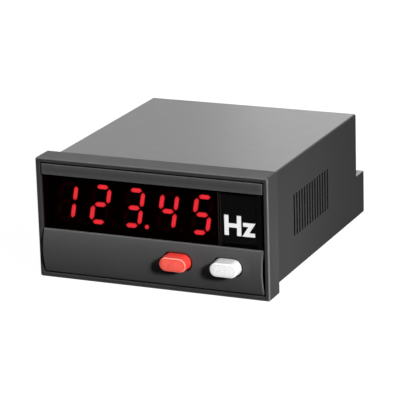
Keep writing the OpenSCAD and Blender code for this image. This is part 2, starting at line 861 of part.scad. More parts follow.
module side_pair() {
    children();
    mirror([1, 0, 0]) children();
}

// Rails under and over each board, on the case's side walls
module guide_rails() {
    side_pair() {
        span([inner_w / 2 - rail_w, inner_w / 2 + cut / 2], [rail_y, case_inner_y],
             [main_bottom - under_board, main_bottom]);
        span([inner_w / 2 - rail_w, inner_w / 2 + cut / 2], [rail_y, block_front_y - 2],
             [main_top + 2 * fit_gap, main_top + 2 * fit_gap + rail_h]);
        for (z = [input_bottom - rail_h, input_top + 2 * fit_gap])
            span([inner_w / 2 - rail_w, inner_w / 2 + cut / 2], [rail_y, deck_front_y + input_board_d],
                 [z, z + rail_h]);
    }
}

module vent_slots() {
    side_pair() for (i = [0 : vent_count - 1])
        span([inner_w / 2, case_w / 2 + cut],
             [vent_start + i * vent_pitch, vent_start + i * vent_pitch + vent_w],
             [-vent_l / 2, vent_l / 2]);
}

module housing() {
    shelf_z = main_top - case_wall;
    color([0.3, 0.3, 0.31]) {
        difference() {
            union() {
                along_y(-socket_d, case_d) rounded_rect(case_w, case_h, case_edge_r);
                intersection() {
                    along_y(case_d - cut, rear_y) rounded_rect(case_w, case_h, case_edge_r);
                    span([-case_w / 2, case_w / 2], [case_d - cut, rear_y], [-case_h / 2, step_z]);
                }
                for (x = [-1, 1], z = [-1, 1])
                    translate([x * lug_x, lug_y, z * (case_h / 2 - case_wall / 2 + lug_h / 2)])
                        cube([lug_w, lug_d, case_wall + lug_h], center = true);
            }
            along_y(-socket_d - cut, case_inner_y) square([inner_w, inner_h], center = true);
            // a room for each terminal block, open at the rear and above the step
            for (block = [[signal_x, signal_poles], [supply_x, supply_poles]])
                span([block[0] - block_end - fit_gap, block[0] + block[1] * pole_pitch + block_end + fit_gap],
                     [case_inner_y - cut, rear_y + cut], [main_top, step_z]);
            // hollow under the shelf that the blocks stand on
            span([-inner_w / 2, inner_w / 2], [case_inner_y - cut, rear_y - case_wall],
                 [-case_h / 2 + case_wall, shelf_z]);
            vent_slots();
        }
        guide_rails();
    }
}

// ---- Terminals ----

function signal_places() = [for (i = [0 : signal_poles - 1]) signal_x + (i + 0.5) * pole_pitch];
function supply_places() = [for (i = [0 : supply_poles - 1]) supply_x + (i + 0.5) * pole_pitch];
function pole_places() = concat(signal_places(), supply_places());

// Drawn as (y, z)
module entry_outline() {
    translate([pole_y, clamp_z - entry_h / 2]) square([rear_y - pole_y + cut, entry_h]);
    polygon([
        [rear_y - entry_flare, clamp_z - entry_h / 2],
        [rear_y + cut, clamp_z - entry_h / 2 - entry_flare - cut],
        [rear_y + cut, clamp_z + entry_h / 2 + entry_flare + cut],
        [rear_y - entry_flare, clamp_z + entry_h / 2]
    ]);
}

module terminal_block(left, places) {
    difference() {
        span([left - block_end, left + len(places) * pole_pitch + block_end],
             [block_front_y, rear_y], [main_top, step_z]);
        for (x = places) {
            // wire entry whose mouth flares up and down
            along_x(x - entry_w / 2, x + entry_w / 2) entry_outline();
            // chamber of the clamp and its strip, open to the front
            span([x - pocket_w / 2, x + pocket_w / 2],
                 [block_front_y - cut, pole_y + clamp_d / 2 + fit_gap],
                 [strip_z - strip_t, clamp_z + clamp_h / 2 + fit_gap]);
            span([x - strip_w / 2 - fit_gap, x + strip_w / 2 + fit_gap],
                 [block_front_y - cut, strip_y + strip_t + fit_gap], [main_top - cut, clamp_z]);
            translate([x, pole_y, clamp_z]) cylinder(h = block_h, r = screw_head_r + fit_gap);
        }
    }
}

module signal_terminal() { color([0.2, 0.45, 0.25]) terminal_block(signal_x, signal_places()); }

module supply_terminal() { color([0.2, 0.45, 0.25]) terminal_block(supply_x, supply_places()); }

module terminal_screws() {
    color([0.78, 0.78, 0.8]) for (x = pole_places()) translate([x, pole_y, 0]) difference() {
        union() {
            translate([0, 0, screw_top - screw_head_h]) cylinder(h = screw_head_h, r = screw_head_r);
            translate([0, 0, screw_foot])
                cylinder(h = screw_top - screw_foot - screw_head_h / 2, r = screw_r);
        }
        span([-screw_head_r - cut, screw_head_r + cut], [-slot_w / 2, slot_w / 2],
             [screw_top - screw_head_h / 2, screw_top + cut]);
    }
}

// A square tube of sheet brass that the screw draws up on the wire
module wire_clamps() {
    color([0.8, 0.68, 0.35]) for (x = pole_places()) translate([x, pole_y, clamp_z]) difference() {
        cube([clamp_w, clamp_d, clamp_h], center = true);
        cube([clamp_w - 2 * clamp_wall, clamp_d + cut, clamp_h - 2 * clamp_wall], center = true);
        cylinder(h = clamp_h, r = screw_r + seat_gap);
    }
}

// A strip under each clamp, bent down through the board
module terminal_pins() {
    color([0.78, 0.7, 0.5]) for (x = pole_places()) {
        sides = [x - strip_w / 2, x + strip_w / 2];
        span(sides, [strip_y, pole_y + clamp_d / 2], [strip_z - strip_t, strip_z]);
        span(sides, [strip_y, strip_y + strip_t], [main_bottom - pin_below, strip_z]);
    }
}

front_frame();
housing();
display_filter();
upper_trim();
button_cover();
display_mask();
unit_card();
display_board();
board_screws();
digit_module(0);  // digit_1
digit_module(1);  // digit_2
digit_module(2);  // digit_3
digit_module(3);  // digit_4
digit_module(4);  // digit_5
lit_segments();
dark_segments();
red_button();
white_button();
red_plunger();
white_plunger();
red_switch();
white_switch();
main_board();
input_board();
main_header();
input_header();
transformer_core();
transformer_coil();
supply_capacitor();
filter_capacitor();
heat_sink();
voltage_regulator();
processor_chip();
clock_crystal();
converter_chip();
signal_terminal();
supply_terminal();
terminal_screws();
wire_clamps();
terminal_pins();
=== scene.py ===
"""Digital panel meter: the finish of every piece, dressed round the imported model.

Sizes are in millimetres in the part's own frame, with X to the right, Y to the rear and
Z up, and the origin in the middle of the panel cut-out. Meshes are stored in metres.
"""

import json
import logging
import math
from collections.abc import Sequence
from dataclasses import dataclass, field
from enum import Enum
from typing import ClassVar

import bpy
import numpy as np
from mathutils import Matrix, Vector

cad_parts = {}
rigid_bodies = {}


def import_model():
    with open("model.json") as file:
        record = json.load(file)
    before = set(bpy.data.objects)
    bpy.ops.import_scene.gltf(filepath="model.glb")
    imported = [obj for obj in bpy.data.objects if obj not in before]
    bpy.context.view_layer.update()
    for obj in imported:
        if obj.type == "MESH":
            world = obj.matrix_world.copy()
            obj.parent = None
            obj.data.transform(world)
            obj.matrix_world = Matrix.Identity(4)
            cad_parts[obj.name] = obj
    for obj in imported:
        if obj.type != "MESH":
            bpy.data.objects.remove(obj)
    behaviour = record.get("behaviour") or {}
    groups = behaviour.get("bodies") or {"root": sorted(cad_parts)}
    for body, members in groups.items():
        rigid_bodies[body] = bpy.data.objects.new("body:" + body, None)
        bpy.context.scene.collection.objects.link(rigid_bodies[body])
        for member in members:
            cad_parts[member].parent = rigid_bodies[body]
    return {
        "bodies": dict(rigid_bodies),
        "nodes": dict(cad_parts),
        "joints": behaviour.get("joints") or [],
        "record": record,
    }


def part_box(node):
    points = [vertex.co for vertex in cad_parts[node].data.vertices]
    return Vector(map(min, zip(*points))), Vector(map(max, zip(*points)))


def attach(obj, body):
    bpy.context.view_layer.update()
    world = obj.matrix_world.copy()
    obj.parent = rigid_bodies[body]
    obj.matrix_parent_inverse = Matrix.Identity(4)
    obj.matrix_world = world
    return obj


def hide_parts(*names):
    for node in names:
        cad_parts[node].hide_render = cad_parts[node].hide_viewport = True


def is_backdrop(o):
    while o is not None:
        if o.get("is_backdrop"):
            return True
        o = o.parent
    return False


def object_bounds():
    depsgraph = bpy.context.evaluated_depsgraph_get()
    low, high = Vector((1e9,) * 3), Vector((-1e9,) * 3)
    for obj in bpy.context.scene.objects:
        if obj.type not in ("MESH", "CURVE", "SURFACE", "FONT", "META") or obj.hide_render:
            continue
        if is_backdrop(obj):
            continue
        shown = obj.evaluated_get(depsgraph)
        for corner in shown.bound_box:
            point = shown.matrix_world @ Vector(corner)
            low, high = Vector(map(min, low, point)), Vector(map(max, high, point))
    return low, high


MM = 0.001
HOLD = 0.04          # a short flat run beside each rounding, which keeps broad faces flat
WELD = 1e-4          # points that agree to this become one
SHARP = math.radians(38)
WAVE = 0.314         # metres from one crest of a wave texture of scale 1 to the next
ROUND_SAMPLES = 6    # rays that look for an edge to round, at each point

log = logging.getLogger("panel_meter")

Array = np.ndarray
Colour = tuple[float, float, float]
Socket = bpy.types.NodeSocket


# ---- Surfaces ------------------------------------------------------------------------


@dataclass
class Surface:
    """A mesh in the making.

    Points are in millimetres. A face has four corners, and one that names a corner twice
    running is a triangle. The tone of a point runs from 0 to 1 for a finish to read.
    """

    points: Array
    quads: Array
    tone: Array | None = None

    @classmethod
    def merged(cls, parts: Sequence["Surface"]) -> "Surface":
        """Several surfaces as one; each part's corner numbers start after the last part's.

        Args:
            parts: The surfaces, which keep their own points.

        Returns:
            One surface.
        """
        starts = np.cumsum([0] + [len(part.points) for part in parts[:-1]])
        tones = [part.tone for part in parts]
        return cls(
            np.concatenate([part.points for part in parts]),
            np.concatenate([part.quads + start for part, start in zip(parts, starts)]),
            None if any(tone is None for tone in tones) else np.concatenate(tones),
        )

    def welded(self) -> "Surface":
        """Make one point of all that share a place to a ten-thousandth of a millimetre.

        Returns:
            A surface with the same faces.
        """
        keys = np.round(self.points / WELD).astype(np.int64)
        _, first, number = np.unique(keys, axis=0, return_index=True, return_inverse=True)
        tone = None if self.tone is None else self.tone[first]
        return Surface(self.points[first], number.reshape(-1)[self.quads], tone)

    def outward(self) -> "Surface":
        """Turn every face of a closed surface outwards.

        The volume inside is a sixth of the sum of a . (b x c) over its triangles, and it
        is negative where the faces look inwards.

        Returns:
            The surface, turned over where it has to be.
        """
        a, b, c, d = (self.points[self.quads[:, corner]] for corner in range(4))
        volume = (a * (np.cross(b, c) + np.cross(c, d))).sum()
        return self if volume > 0 else Surface(self.points, self.quads[:, ::-1], self.tone)

    def mesh(self, name: str) -> bpy.types.Mesh:
        """Store the surface as a smooth mesh in metres, creased at its sharp edges.

        Args:
            name: The mesh's name.

        Returns:
            The mesh, with the tone as a point attribute where the surface has one.
        """
        twice = self.quads == np.roll(self.quads, -1, axis=1)
        whole = self.quads[~twice.any(axis=1)]
        pinched = twice.sum(axis=1) == 1
        triangles = self.quads[pinched][~twice[pinched]].reshape(-1, 3)
        mesh = bpy.data.meshes.new(name)
        mesh.from_pydata((self.points * MM).tolist(), [], whole.tolist() + triangles.tolist())
        mesh.shade_smooth()
        mesh.set_sharp_from_angle(angle=SHARP)
        if self.tone is not None:
            attribute = mesh.attributes.new("tone", "FLOAT", "POINT")
            attribute.data.foreach_set("value", self.tone.astype(np.float32))
        return mesh


def grid_quads(rows: int, columns: int, ring: bool = True) -> Array:
    """Number the faces of a grid of points.

    The face (i, j) joins the points (i, j), (i, j + 1), (i + 1, j + 1) and (i + 1, j).

    Args:
        rows: Rows of points.
        columns: Points in a row.
        ring: Whether the last point of a row is followed by its first.

    Returns:
        The four corner numbers of each face.
    """
    row = np.arange(rows - 1)[:, None] * columns
    column = np.arange(columns if ring else columns - 1)[None, :]
    right = (column + 1) % columns
    corners = (row + column, row + right, row + columns + right, row + columns + column)
    return np.stack(np.broadcast_arrays(*corners), axis=-1).reshape(-1, 4)


def loft(loops: Array, tone: Array) -> Surface:
    """Skin a row of closed loops, and turn the faces outwards.

    Args:
        loops: Points as (loop, place on the loop, axis). The ends close where the last
            loop repeats the first, or where a loop shrinks to a line or a point.
        tone: One tone for each loop.

    Returns:
        The closed surface.
    """
    count, around = loops.shape[:2]
    quads = grid_quads(count, around)
    return Surface(loops.reshape(-1, 3), quads, np.repeat(tone, around)).welded().outward()


def rounded_course(corners: Array, radii: Sequence[float], steps: int = 6,
                   closed: bool = False) -> Array:
    """Follow straight runs between corners, and round each corner.

    With u one millimetre back along the run before a corner and v one millimetre on along
    the run after it, the rounding is corner + r (1 - sin t) u + r (1 - cos t) v, for t from
    nought to a quarter turn. That is a circle where the runs meet square.

    Args:
        corners: The corners, one to a row, in any number of axes.
        radii: The radius at each corner, or nought for a sharp one.
        steps: Faces round a corner.
        closed: Whether the last corner leads back to the first.

    Returns:
        The points of the course.
    """
    turn = np.linspace(0, math.pi / 2, steps + 1)[:, None]
    course = []
    for index, (corner, radius) in enumerate(zip(corners, radii)):
        if radius == 0:
            course.append(corner[None])
            continue
        back = corners[index - 1] - corner
        onward = corners[(index + 1) % len(corners)] - corner
        back = back / np.abs(back).max()
        onward = onward / np.abs(onward).max()
        bend = (1 - np.sin(turn)) * back + (1 - np.cos(turn)) * onward
        course += [
            (corner + (radius + HOLD) * back)[None],
            corner + radius * bend,
            (corner + (radius + HOLD) * onward)[None],
        ]
    course = np.concatenate(course)
    return np.concatenate([course, course[:1]]) if closed else course


def rectangle_loops(stations: Array, steps: int = 6) -> Array:
    """Carry a profile round rectangles with rounded corners.

    A corner's points are the centre of its arc + radius (cos a, sin a), with a over a
    quarter turn, and the four arcs follow each other.

    Args:
        stations: One row for each loop: half its width, half its height, its place along
            Y and its corner radius.
        steps: Faces round a corner.

    Returns:
        Points as (loop, place on the loop, axis).
    """
    arc = np.linspace(0, math.pi / 2, steps + 1)
    angle = np.concatenate([arc + quarter * math.pi / 2 for quarter in range(4)])
    middle = np.repeat(np.arange(4) * math.pi / 2 + math.pi / 4, steps + 1)
    half_w, half_h, y, radius = (stations[:, axis, None] for axis in range(4))
    x = np.sign(np.cos(middle)) * (half_w - radius) + radius * np.cos(angle)
    z = np.sign(np.sin(middle)) * (half_h - radius) + radius * np.sin(angle)
    return np.stack([x, np.broadcast_to(y, x.shape), z], axis=-1)


def stadium_loops(flat: float, stations: Array, steps: int = 20) -> Array:
    """Carry a profile round stadiums that share one straight middle.

    A point is (side flat / 2 + r cos a, r sin a), where a goes round by a whole turn and
    the side changes with the sign of cos a.

    Args:
        flat: Length of the straight middle.
        stations: One row for each loop: its radius and its place along Y.
        steps: Faces round each end.

    Returns:
        Points as (loop, place on the loop, axis).
    """
    end = np.linspace(-math.pi / 2, math.pi / 2, steps + 1)
    angle = np.concatenate([end, end + math.pi])
    side = np.repeat([1.0, -1.0], steps + 1)
    radius, y = stations[:, 0, None], stations[:, 1, None]
    x = side * flat / 2 + radius * np.cos(angle)
    return np.stack([x, np.broadcast_to(y, x.shape), radius * np.sin(angle)], axis=-1)


def closed_shell(front: Array, rear: Array, quads: Array, tone: Array) -> Surface:
    """Close the room between two sheets that share their faces.

    The rear sheet is the front one turned over, and a wall joins the two along each edge
    that only one face has.

    Args:
        front: Points of the front sheet.
        rear: Points of the rear sheet, in the same order.
        quads: The faces of the front sheet.
        tone: One tone for each point of a sheet.

    Returns:
        The closed surface, with its faces outwards.
    """
    count = len(front)
    start, end = quads.ravel(), np.roll(quads, -1, axis=1).ravel()
    lone = ~np.isin(start * count + end, end * count + start)
    walls = [end[lone], start[lone], start[lone] + count, end[lone] + count]
    faces = np.concatenate([quads, quads[:, ::-1] + count, np.stack(walls, axis=1)])
    return Surface(np.concatenate([front, rear]), faces, np.tile(tone, 2)).outward()


@dataclass(frozen=True)
class Way:
    """A stadium-shaped way through a plate, along Y."""

    x: float
    z: float
    flat: float
    radius: float

    def distance(self, x: Array, z: Array) -> Array:
        """How far points lie outside the way: from its middle line, less its radius."""
        beside = np.maximum(np.abs(x - self.x) - self.flat / 2, 0)
        return np.hypot(beside, z - self.z) - self.radius

    def towards(self, x: Array, z: Array, outside: float) -> Array:
        """Points round the way, each in the direction of a given point.

        A ray from the way's middle meets the straight side at r / |sin|, or else the end
        circle at a |cos| + sqrt(r r - a a sin sin), where a is half the straight length.

        Args:
            x: X of the points to look towards.
            z: Z of the points to look towards.
            outside: How far outside the way the points stay.

        Returns:
            One row of x and z for each point.
        """
        angle = np.arctan2(z - self.z, x - self.x)
        cosine, sine = np.abs(np.cos(angle)), np.abs(np.sin(angle))
        half, radius = self.flat / 2, self.radius + outside
        side = radius / np.maximum(sine, 1e-9)
        end = half * cosine + np.sqrt(np.maximum(radius**2 - (half * sine) ** 2, 0))
        reach = np.where(side * cosine <= half, side, end)
        return np.stack([self.x + reach * np.cos(angle), self.z + reach * np.sin(angle)], axis=1)


def insets(radius: float, steps: int = 5) -> Array:
    """Distances from an edge at which a rounding has its rows: r (1 - cos t), then HOLD."""
    turn = np.linspace(0, math.pi / 2, steps + 1)
    return np.append(radius * (1 - np.cos(turn)), radius + HOLD)


def rolled(distance: Array, radius: float) -> Array:
    """How deep a rounded edge falls: r - sqrt(r r - (r - d) (r - d)) at d from the edge."""
    short = radius - np.clip(distance, 0, radius)
    return radius - np.sqrt(np.maximum(radius**2 - short**2, 0))


@dataclass(frozen=True)
class Plate:
    """A rectangular plate with ways through it, worked out as a flat net of faces."""

    x: tuple[float, float]
    z: tuple[float, float]
    ways: tuple[Way, ...]
    edge: float
    lip: float
    foot: float = 0
    collar: float = 0

    lines_up: ClassVar[int] = 13        # over the height, between the rounded edges
    lines_across: ClassVar[int] = 17    # over a way's rectangle
    rings_out: ClassVar[int] = 8        # from a way's lip out to its rectangle's edge
    lines_left: ClassVar[int] = 14      # beside the ways, on the long plain side
    lines_right: ClassVar[int] = 4      # and on the short one

    @staticmethod
    def rows(radius: float, step: float) -> Array:
        """Distances from an edge for its rounding, and for a step behind it if it has one."""
        return np.append(insets(radius), [step, step + HOLD] if step else [])

    def levels(self) -> Array:
        """Lines along the plate, close together at its long edges and at its feet.

        Returns:
            Their places along Z.
        """
        low, high = self.z
        rows = self.rows(self.edge, self.foot)
        return np.concatenate([low + rows, np.linspace(low, high, self.lines_up)[1:-1],
                               high - rows[::-1]])

    def round_way(self, way: Way, left: float, right: float) -> Surface:
        """Faces between a way and the rectangle that it stands in.

        Rows close round the way lead over straight rows to rows close inside the
        rectangle.

        Args:
            way: The way.
            left: The rectangle's left edge.
            right: Its right edge.

        Returns:
            A flat surface, in X and Z.
        """
        levels = self.levels()
        across = np.linspace(left, right, self.lines_across)
        low, high = np.full(len(across), self.z[0]), np.full(len(across), self.z[1])
        x = np.concatenate([across[:-1], np.full(len(levels) - 1, right), across[:0:-1],
                            np.full(len(levels) - 1, left)])
        z = np.concatenate([low[:-1], levels[:-1], high[:0:-1], levels[:0:-1]])
        rim = np.stack([x, z], axis=1)
        middle = np.array([(left + right) / 2, sum(self.z) / 2])
        half = np.array([(right - left) / 2, (self.z[1] - self.z[0]) / 2])
        near = [way.towards(x, z, outside) for outside in self.rows(self.lip, self.collar)]
        far = [middle + (rim - middle) * (half - inside) / half
               for inside in self.rows(self.edge, self.foot)[::-1]]
        share = np.linspace(0, 1, self.rings_out)[1:-1, None, None]
        between = near[-1] + (far[0] - near[-1]) * share
        rings = np.concatenate([near, between, far])
        points = np.insert(rings.reshape(-1, 2), 1, 0, axis=1)
        return Surface(points, grid_quads(len(rings), len(rim)))

    def column(self, xs: Array) -> Surface:
        """Plain faces over the plate's height, between lines at the given places.

        Args:
            xs: The lines' places along X, from left to right.

        Returns:
            A flat surface, in X and Z.
        """
        levels = self.levels()
        x, z = np.meshgrid(xs, levels, indexing="ij")
        points = np.stack([x, np.zeros_like(x), z], axis=-1).reshape(-1, 3)
        return Surface(points, grid_quads(len(xs), len(levels), ring=False)[:, ::-1])

    def net(self) -> Surface:
        """The whole plate as one flat surface, with each way in a rectangle of its own.

        Returns:
            A flat surface, in X and Z.
        """
        reach = (self.ways[1].x - self.ways[0].x) / 2
        cuts = [self.ways[0].x - reach, *(way.x + reach for way in self.ways)]
        rows = insets(self.edge)
        left = np.concatenate([self.x[0] + rows,
                               np.linspace(self.x[0], cuts[0], self.lines_left)[1:]])
        right = np.concatenate([np.linspace(cuts[-1], self.x[1], self.lines_right)[:-1],
                                self.x[1] - rows[::-1]])
        patches = [self.round_way(way, *span) for way, span in
                   zip(self.ways, zip(cuts[:-1], cuts[1:]))]
        return Surface.merged([self.column(left), *patches, self.column(right)]).welded()

    def fall(self, points: Array) -> Array:
        """How far the rounded edges and lips stand back at each point.

        Args:
            points: Points of the plate's net.

        Returns:
            One depth for each point.
        """
        x, z = points[:, 0], points[:, 2]
        inside = np.minimum.reduce([x - self.x[0], self.x[1] - x, z - self.z[0], self.z[1] - z])
        depth = rolled(inside, self.edge)
        for way in self.ways:
            depth = np.maximum(depth, rolled(way.distance(x, z), self.lip))
        return depth

    def stands(self, points: Array) -> Array:
        """Whether each point lies over a foot or a collar.

        Args:
            points: Points of the plate's net.

        Returns:
            True where there is one.
        """
        x, z = points[:, 0], points[:, 2]
        over = np.minimum(z - self.z[0], self.z[1] - z) < self.foot + HOLD / 2
        for way in self.ways:
            over |= way.distance(x, z) < self.collar + HOLD / 2
        return over

    def between(self, net: Surface, front_y: Array | float, rear_y: Array | float) -> Surface:
        """Close the room between a front sheet, with its rounded edges, and a rear one.

        Args:
            net: The plate's net.
            front_y: Where the front sheet stands along Y before its edges fall back.
            rear_y: Where the rear sheet stands.

        Returns:
            The closed surface. Its tone rises to 1 over the rounded edges.
        """
        fall = self.fall(net.points)
        front, rear = net.points.copy(), net.points.copy()
        front[:, 1], rear[:, 1] = front_y + fall, rear_y
        return closed_shell(front, rear, net.quads, fall / self.edge)


# ---- Finishes ------------------------------------------------------------------------


class Graph:
    """The nodes of a material or a world, with a short call for each kind of step."""

    def __init__(self, owner: bpy.types.Material | bpy.types.World) -> None:
        """Take a material or world, and clear its nodes.

        Args:
            owner: The material or world.
        """
        self.owner = owner
        owner.use_nodes = True
        self.nodes = owner.node_tree.nodes
        self.links = owner.node_tree.links
        self.nodes.clear()

    def add(self, kind: str, inputs: dict | None = None, **settings: object) -> bpy.types.Node:
        """Add a node.

        Args:
            kind: Blender's name for the node, without the shared first part.
            inputs: Socket names or numbers, each with a value or a socket to link.
            **settings: The node's own settings.

        Returns:
            The node.
        """
        node = self.nodes.new("ShaderNode" + kind)
        for name, value in settings.items():
            setattr(node, name, value)
        for key, value in (inputs or {}).items():
            if isinstance(value, Socket):
                self.links.new(value, node.inputs[key])
            else:
                node.inputs[key].default_value = value
        return node

    def place(self, stretch: Colour = (1, 1, 1)) -> Socket:
        """The point's place on the object, stretched along each axis.

        Args:
            stretch: Scale along each axis.

        Returns:
            The vector, in metres.
        """
        where = self.add("TexCoord").outputs["Object"]
        if stretch == (1, 1, 1):
            return where
        return self.add("Mapping", {"Vector": where, "Scale": stretch}).outputs[0]

    def noise(self, size: float, detail: float = 2, stretch: Colour = (1, 1, 1)) -> Socket:
        """Cloudy values from 0 to 1.

        Args:
            size: Size of a cloud in millimetres.
            detail: How many finer layers it has.
            stretch: Scale along each axis.

        Returns:
            The value socket.
        """
        inputs = {"Vector": self.place(stretch), "Scale": 1 / (size * MM), "Detail": detail}
        return self.add("TexNoise", inputs).outputs[0]

    def ranged(self, value: Socket, low: float, high: float,
               start: float = 0.3, stop: float = 0.7) -> Socket:
        """Carry a value between two limits over to two others, and hold it there.

        Args:
            value: The value.
            low: What it becomes at its start and before.
            high: What it becomes at its stop and past it.
            start: Its start.
            stop: Its stop.

        Returns:
            The value carried over.
        """
        inputs = {"Value": value, "From Min": start, "From Max": stop, "To Min": low,
                  "To Max": high}
        return self.add("MapRange", inputs).outputs[0]

    def step(self, place: Socket, limit: float, low: float, high: float, soft: float) -> Socket:
        """One value before a limit and another past it; limit and soft are in millimetres."""
        return self.ranged(place, low, high, (limit - soft) * MM, (limit + soft) * MM)

    def away(self, place: Socket, middle: float) -> Socket:
        """How far a place lies from a middle that is given in millimetres."""
        return self.math("ABSOLUTE", self.math("SUBTRACT", place, middle * MM))

    def axes(self, vector: Socket) -> bpy.types.bpy_prop_collection:
        """A vector's three parts."""
        return self.add("SeparateXYZ", {0: vector}).outputs

    def wave(self, pitch: float, axis: str, wobble: float = 0) -> Socket:
        """A wave from 0 to 1 along an axis, with its pitch in millimetres.

        Args:
            pitch: From one crest to the next.
            axis: X, Y or Z.
            wobble: How far it strays from straight.

        Returns:
            The value socket.
        """
        inputs = {"Vector": self.place(), "Scale": WAVE / (pitch * MM), "Distortion": wobble,
                  "Detail": 1.0}
        return self.add("TexWave", inputs, bands_direction=axis).outputs[0]

    def mixed(self, share: Socket, a: object, b: object) -> Socket:
        """Colour a where the share is 0 and b where it is 1."""
        a, b = (side if isinstance(side, Socket) else (*side, 1) for side in (a, b))
        return self.add("Mix", {0: share, 6: a, 7: b}, data_type="RGBA").outputs[2]

    def math(self, operation: str, a: object, b: object = 0.0) -> Socket:
        """One step of arithmetic on values or sockets."""
        return self.add("Math", {0: a, 1: b}, operation=operation).outputs[0]

    def blend(self, share: object, a: Socket, b: Socket) -> Socket:
        """Shader a where the share is 0 and b where it is 1."""
        return self.add("MixShader", {0: share, 1: a, 2: b}).outputs[0]

    def tone(self) -> Socket:
        """The tone that the mesh carries."""
        return self.add("Attribute", attribute_name="tone").outputs["Fac"]

    def relief(self, height: Socket, depth: float, edge: float = 0) -> Socket:
        """Bump from a height, over edges that look rounded.

        Args:
            height: Height from 0 to 1.
            depth: What a height of 1 is in millimetres.
            edge: Radius of the rounding in millimetres, or nought for none.

        Returns:
            The normal.
        """
        inputs = {"Height": height, "Distance": depth * MM, "Strength": 1.0}
        if edge:
            bevel = self.add("Bevel", {"Radius": edge * MM}, samples=ROUND_SAMPLES)
            inputs["Normal"] = bevel.outputs[0]
        return self.add("Bump", inputs).outputs[0]

    def seen_by(self, *kinds: str) -> Socket:
        """One for rays of the named kinds, and nought for all others.

        Args:
            *kinds: The kinds of ray, such as Camera or Shadow.

        Returns:
            The value socket.
        """
        path = self.add("LightPath").outputs
        share = path[f"Is {kinds[0]} Ray"]
        for kind in kinds[1:]:
            share = self.math("MAXIMUM", share, path[f"Is {kind} Ray"])
        return share

    def finish(self, shader: Socket) -> bpy.types.Material | bpy.types.World:
        """Link the last shader to the output, and return the material or world.

        Args:
            shader: The last shader.

        Returns:
            The graph's owner.
        """
        kind = "OutputWorld" if isinstance(self.owner, bpy.types.World) else "OutputMaterial"
        self.add(kind, {"Surface": shader})
        return self.owner

    def surface(self, **inputs: object) -> Socket:
        """A principled surface; its sockets' names are given with _ for a space."""
        named = {key.replace("_", " "): value for key, value in inputs.items()}
        return self.add("BsdfPrincipled", named).outputs[0]


def shaded(colour: Colour, by: float) -> Colour:
    """A colour made lighter or darker by a factor, and at most 1."""
    return tuple(min(1.0, channel * by) for channel in colour)


@dataclass(frozen=True)
class Finish:
    """A kind of surface, worked out from the object's own coordinates."""

    name: str

    def shader(self, graph: Graph) -> Socket:
        """The last shader of the finish; each kind has its own.

        Args:
            graph: The new material's empty graph.

        Returns:
            The shader's socket.
        """
        raise NotImplementedError

    def material(self) -> bpy.types.Material:
        """A new material with this finish."""
        graph = Graph(bpy.data.materials.new(self.name))
        return graph.finish(self.shader(graph))


@dataclass(frozen=True)
class MouldedPlastic(Finish):
    """Plastic with a fine moulded grain, cloudy in colour and gloss."""

    colour: Colour
    roughness: float = 0.5
    gloss: float = 0.5
    grain: float = 0.35
    grain_depth: float = 0.006
    cloud: float = 9.0
    mottle: float = 0.06
    edge: float = 0.12
    worn: float = 1.0
    fleck: float = 0.5
    fleck_shade: float = 0.8
    hollow: tuple[float, float, float, float] | None = None
    hollow_shade: float = 0.15
    hollow_gloss: float = 0.1

    def inside(self, graph: Graph) -> Socket:
        """One in the hollow behind the skin, and nought on the skin and beyond.

        The hollow is a box with its half width, its front and rear Y and its half height.

        Args:
            graph: The new material's empty graph.

        Returns:
            The value socket.
        """
        half_w, front, rear, half_h = self.hollow
        middles = (0, (front + rear) / 2, 0)
        reaches = (half_w, (rear - front) / 2, half_h)
        share = 1.0
        for place, middle, reach in zip(graph.axes(graph.place()), middles, reaches):
            within = graph.step(graph.away(place, middle), reach, 1, 0, soft=0.03)
            share = graph.math("MULTIPLY", share, within)
        return share

    def shader(self, graph: Graph) -> Socket:
        """Grain is bump from fine noise; broad noise moves colour and roughness a little.

        Where the piece carries a tone, its edges are painted lighter by the painted highlight
        factor:
        a painted highlight along the rounded edges, and on a button's face painted light. The
        walls of its vents, and all inside the hollow, take painted shade: darker in colour and
        duller in gloss.

        Args:
            graph: The new material's empty graph.

        Returns:
            The last shader.
        """
        clouds = graph.noise(self.cloud, detail=3)
        speck = graph.noise(self.grain, detail=3)
        deep, pale = (shaded(self.colour, 1 + sign * self.mottle) for sign in (-1, 1))
        tone = graph.mixed(graph.ranged(clouds, 0, 1), deep, pale)
        # Painted highlight: the toned edges, and a button's face, are painted lighter than the
        # plastic.
        if self.worn > 1:
            tone = graph.mixed(graph.tone(), tone, shaded(self.colour, self.worn))
        colour = graph.mixed(graph.ranged(speck, 0, self.fleck), tone,
                             shaded(self.colour, self.fleck_shade))
        gloss = self.gloss
        # Painted shade: inside the hollow the colour is darkened and the gloss dulled.
        if self.hollow:
            inside = self.inside(graph)
            colour = graph.mixed(inside, colour, shaded(self.colour, self.hollow_shade))
            gloss = graph.ranged(inside, self.gloss, self.hollow_gloss * self.gloss)
        return graph.surface(
            Base_Color=colour,
            Roughness=graph.ranged(clouds, self.roughness - self.mottle / 2,
                                   self.roughness + self.mottle / 2),
            Specular_IOR_Level=gloss,
            Normal=graph.relief(speck, self.grain_depth, self.edge),
        )


@dataclass(frozen=True)
class DrawnMetal(Finish):
    """Metal with fine lines along one axis and a duller film in places."""

    colour: Colour
    roughness: float = 0.3
    along: Colour = (1.0, 0.08, 1.0)
    line_w: float = 0.25
    line_depth: float = 0.004
    film: float = 0.25
    film_w: float = 2.5
    film_shade: float = 0.45
    edge: float = 0.06

    def shader(self, graph: Graph) -> Socket:
        """Lines are noise drawn out along an axis; the film is broad noise.

        Args:
            graph: The new material's empty graph.

        Returns:
            The last shader.
        """
        lines = graph.noise(self.line_w, detail=3, stretch=self.along)
        film = graph.ranged(graph.noise(self.film_w, detail=3), 0, self.film)
        colour = graph.mixed(film, self.colour, shaded(self.colour, self.film_shade))
        return graph.surface(
            Base_Color=colour,
            Metallic=1.0,
            Roughness=graph.ranged(lines, self.roughness - 0.08, self.roughness + 0.12),
            Normal=graph.relief(lines, self.line_depth, self.edge),
        )


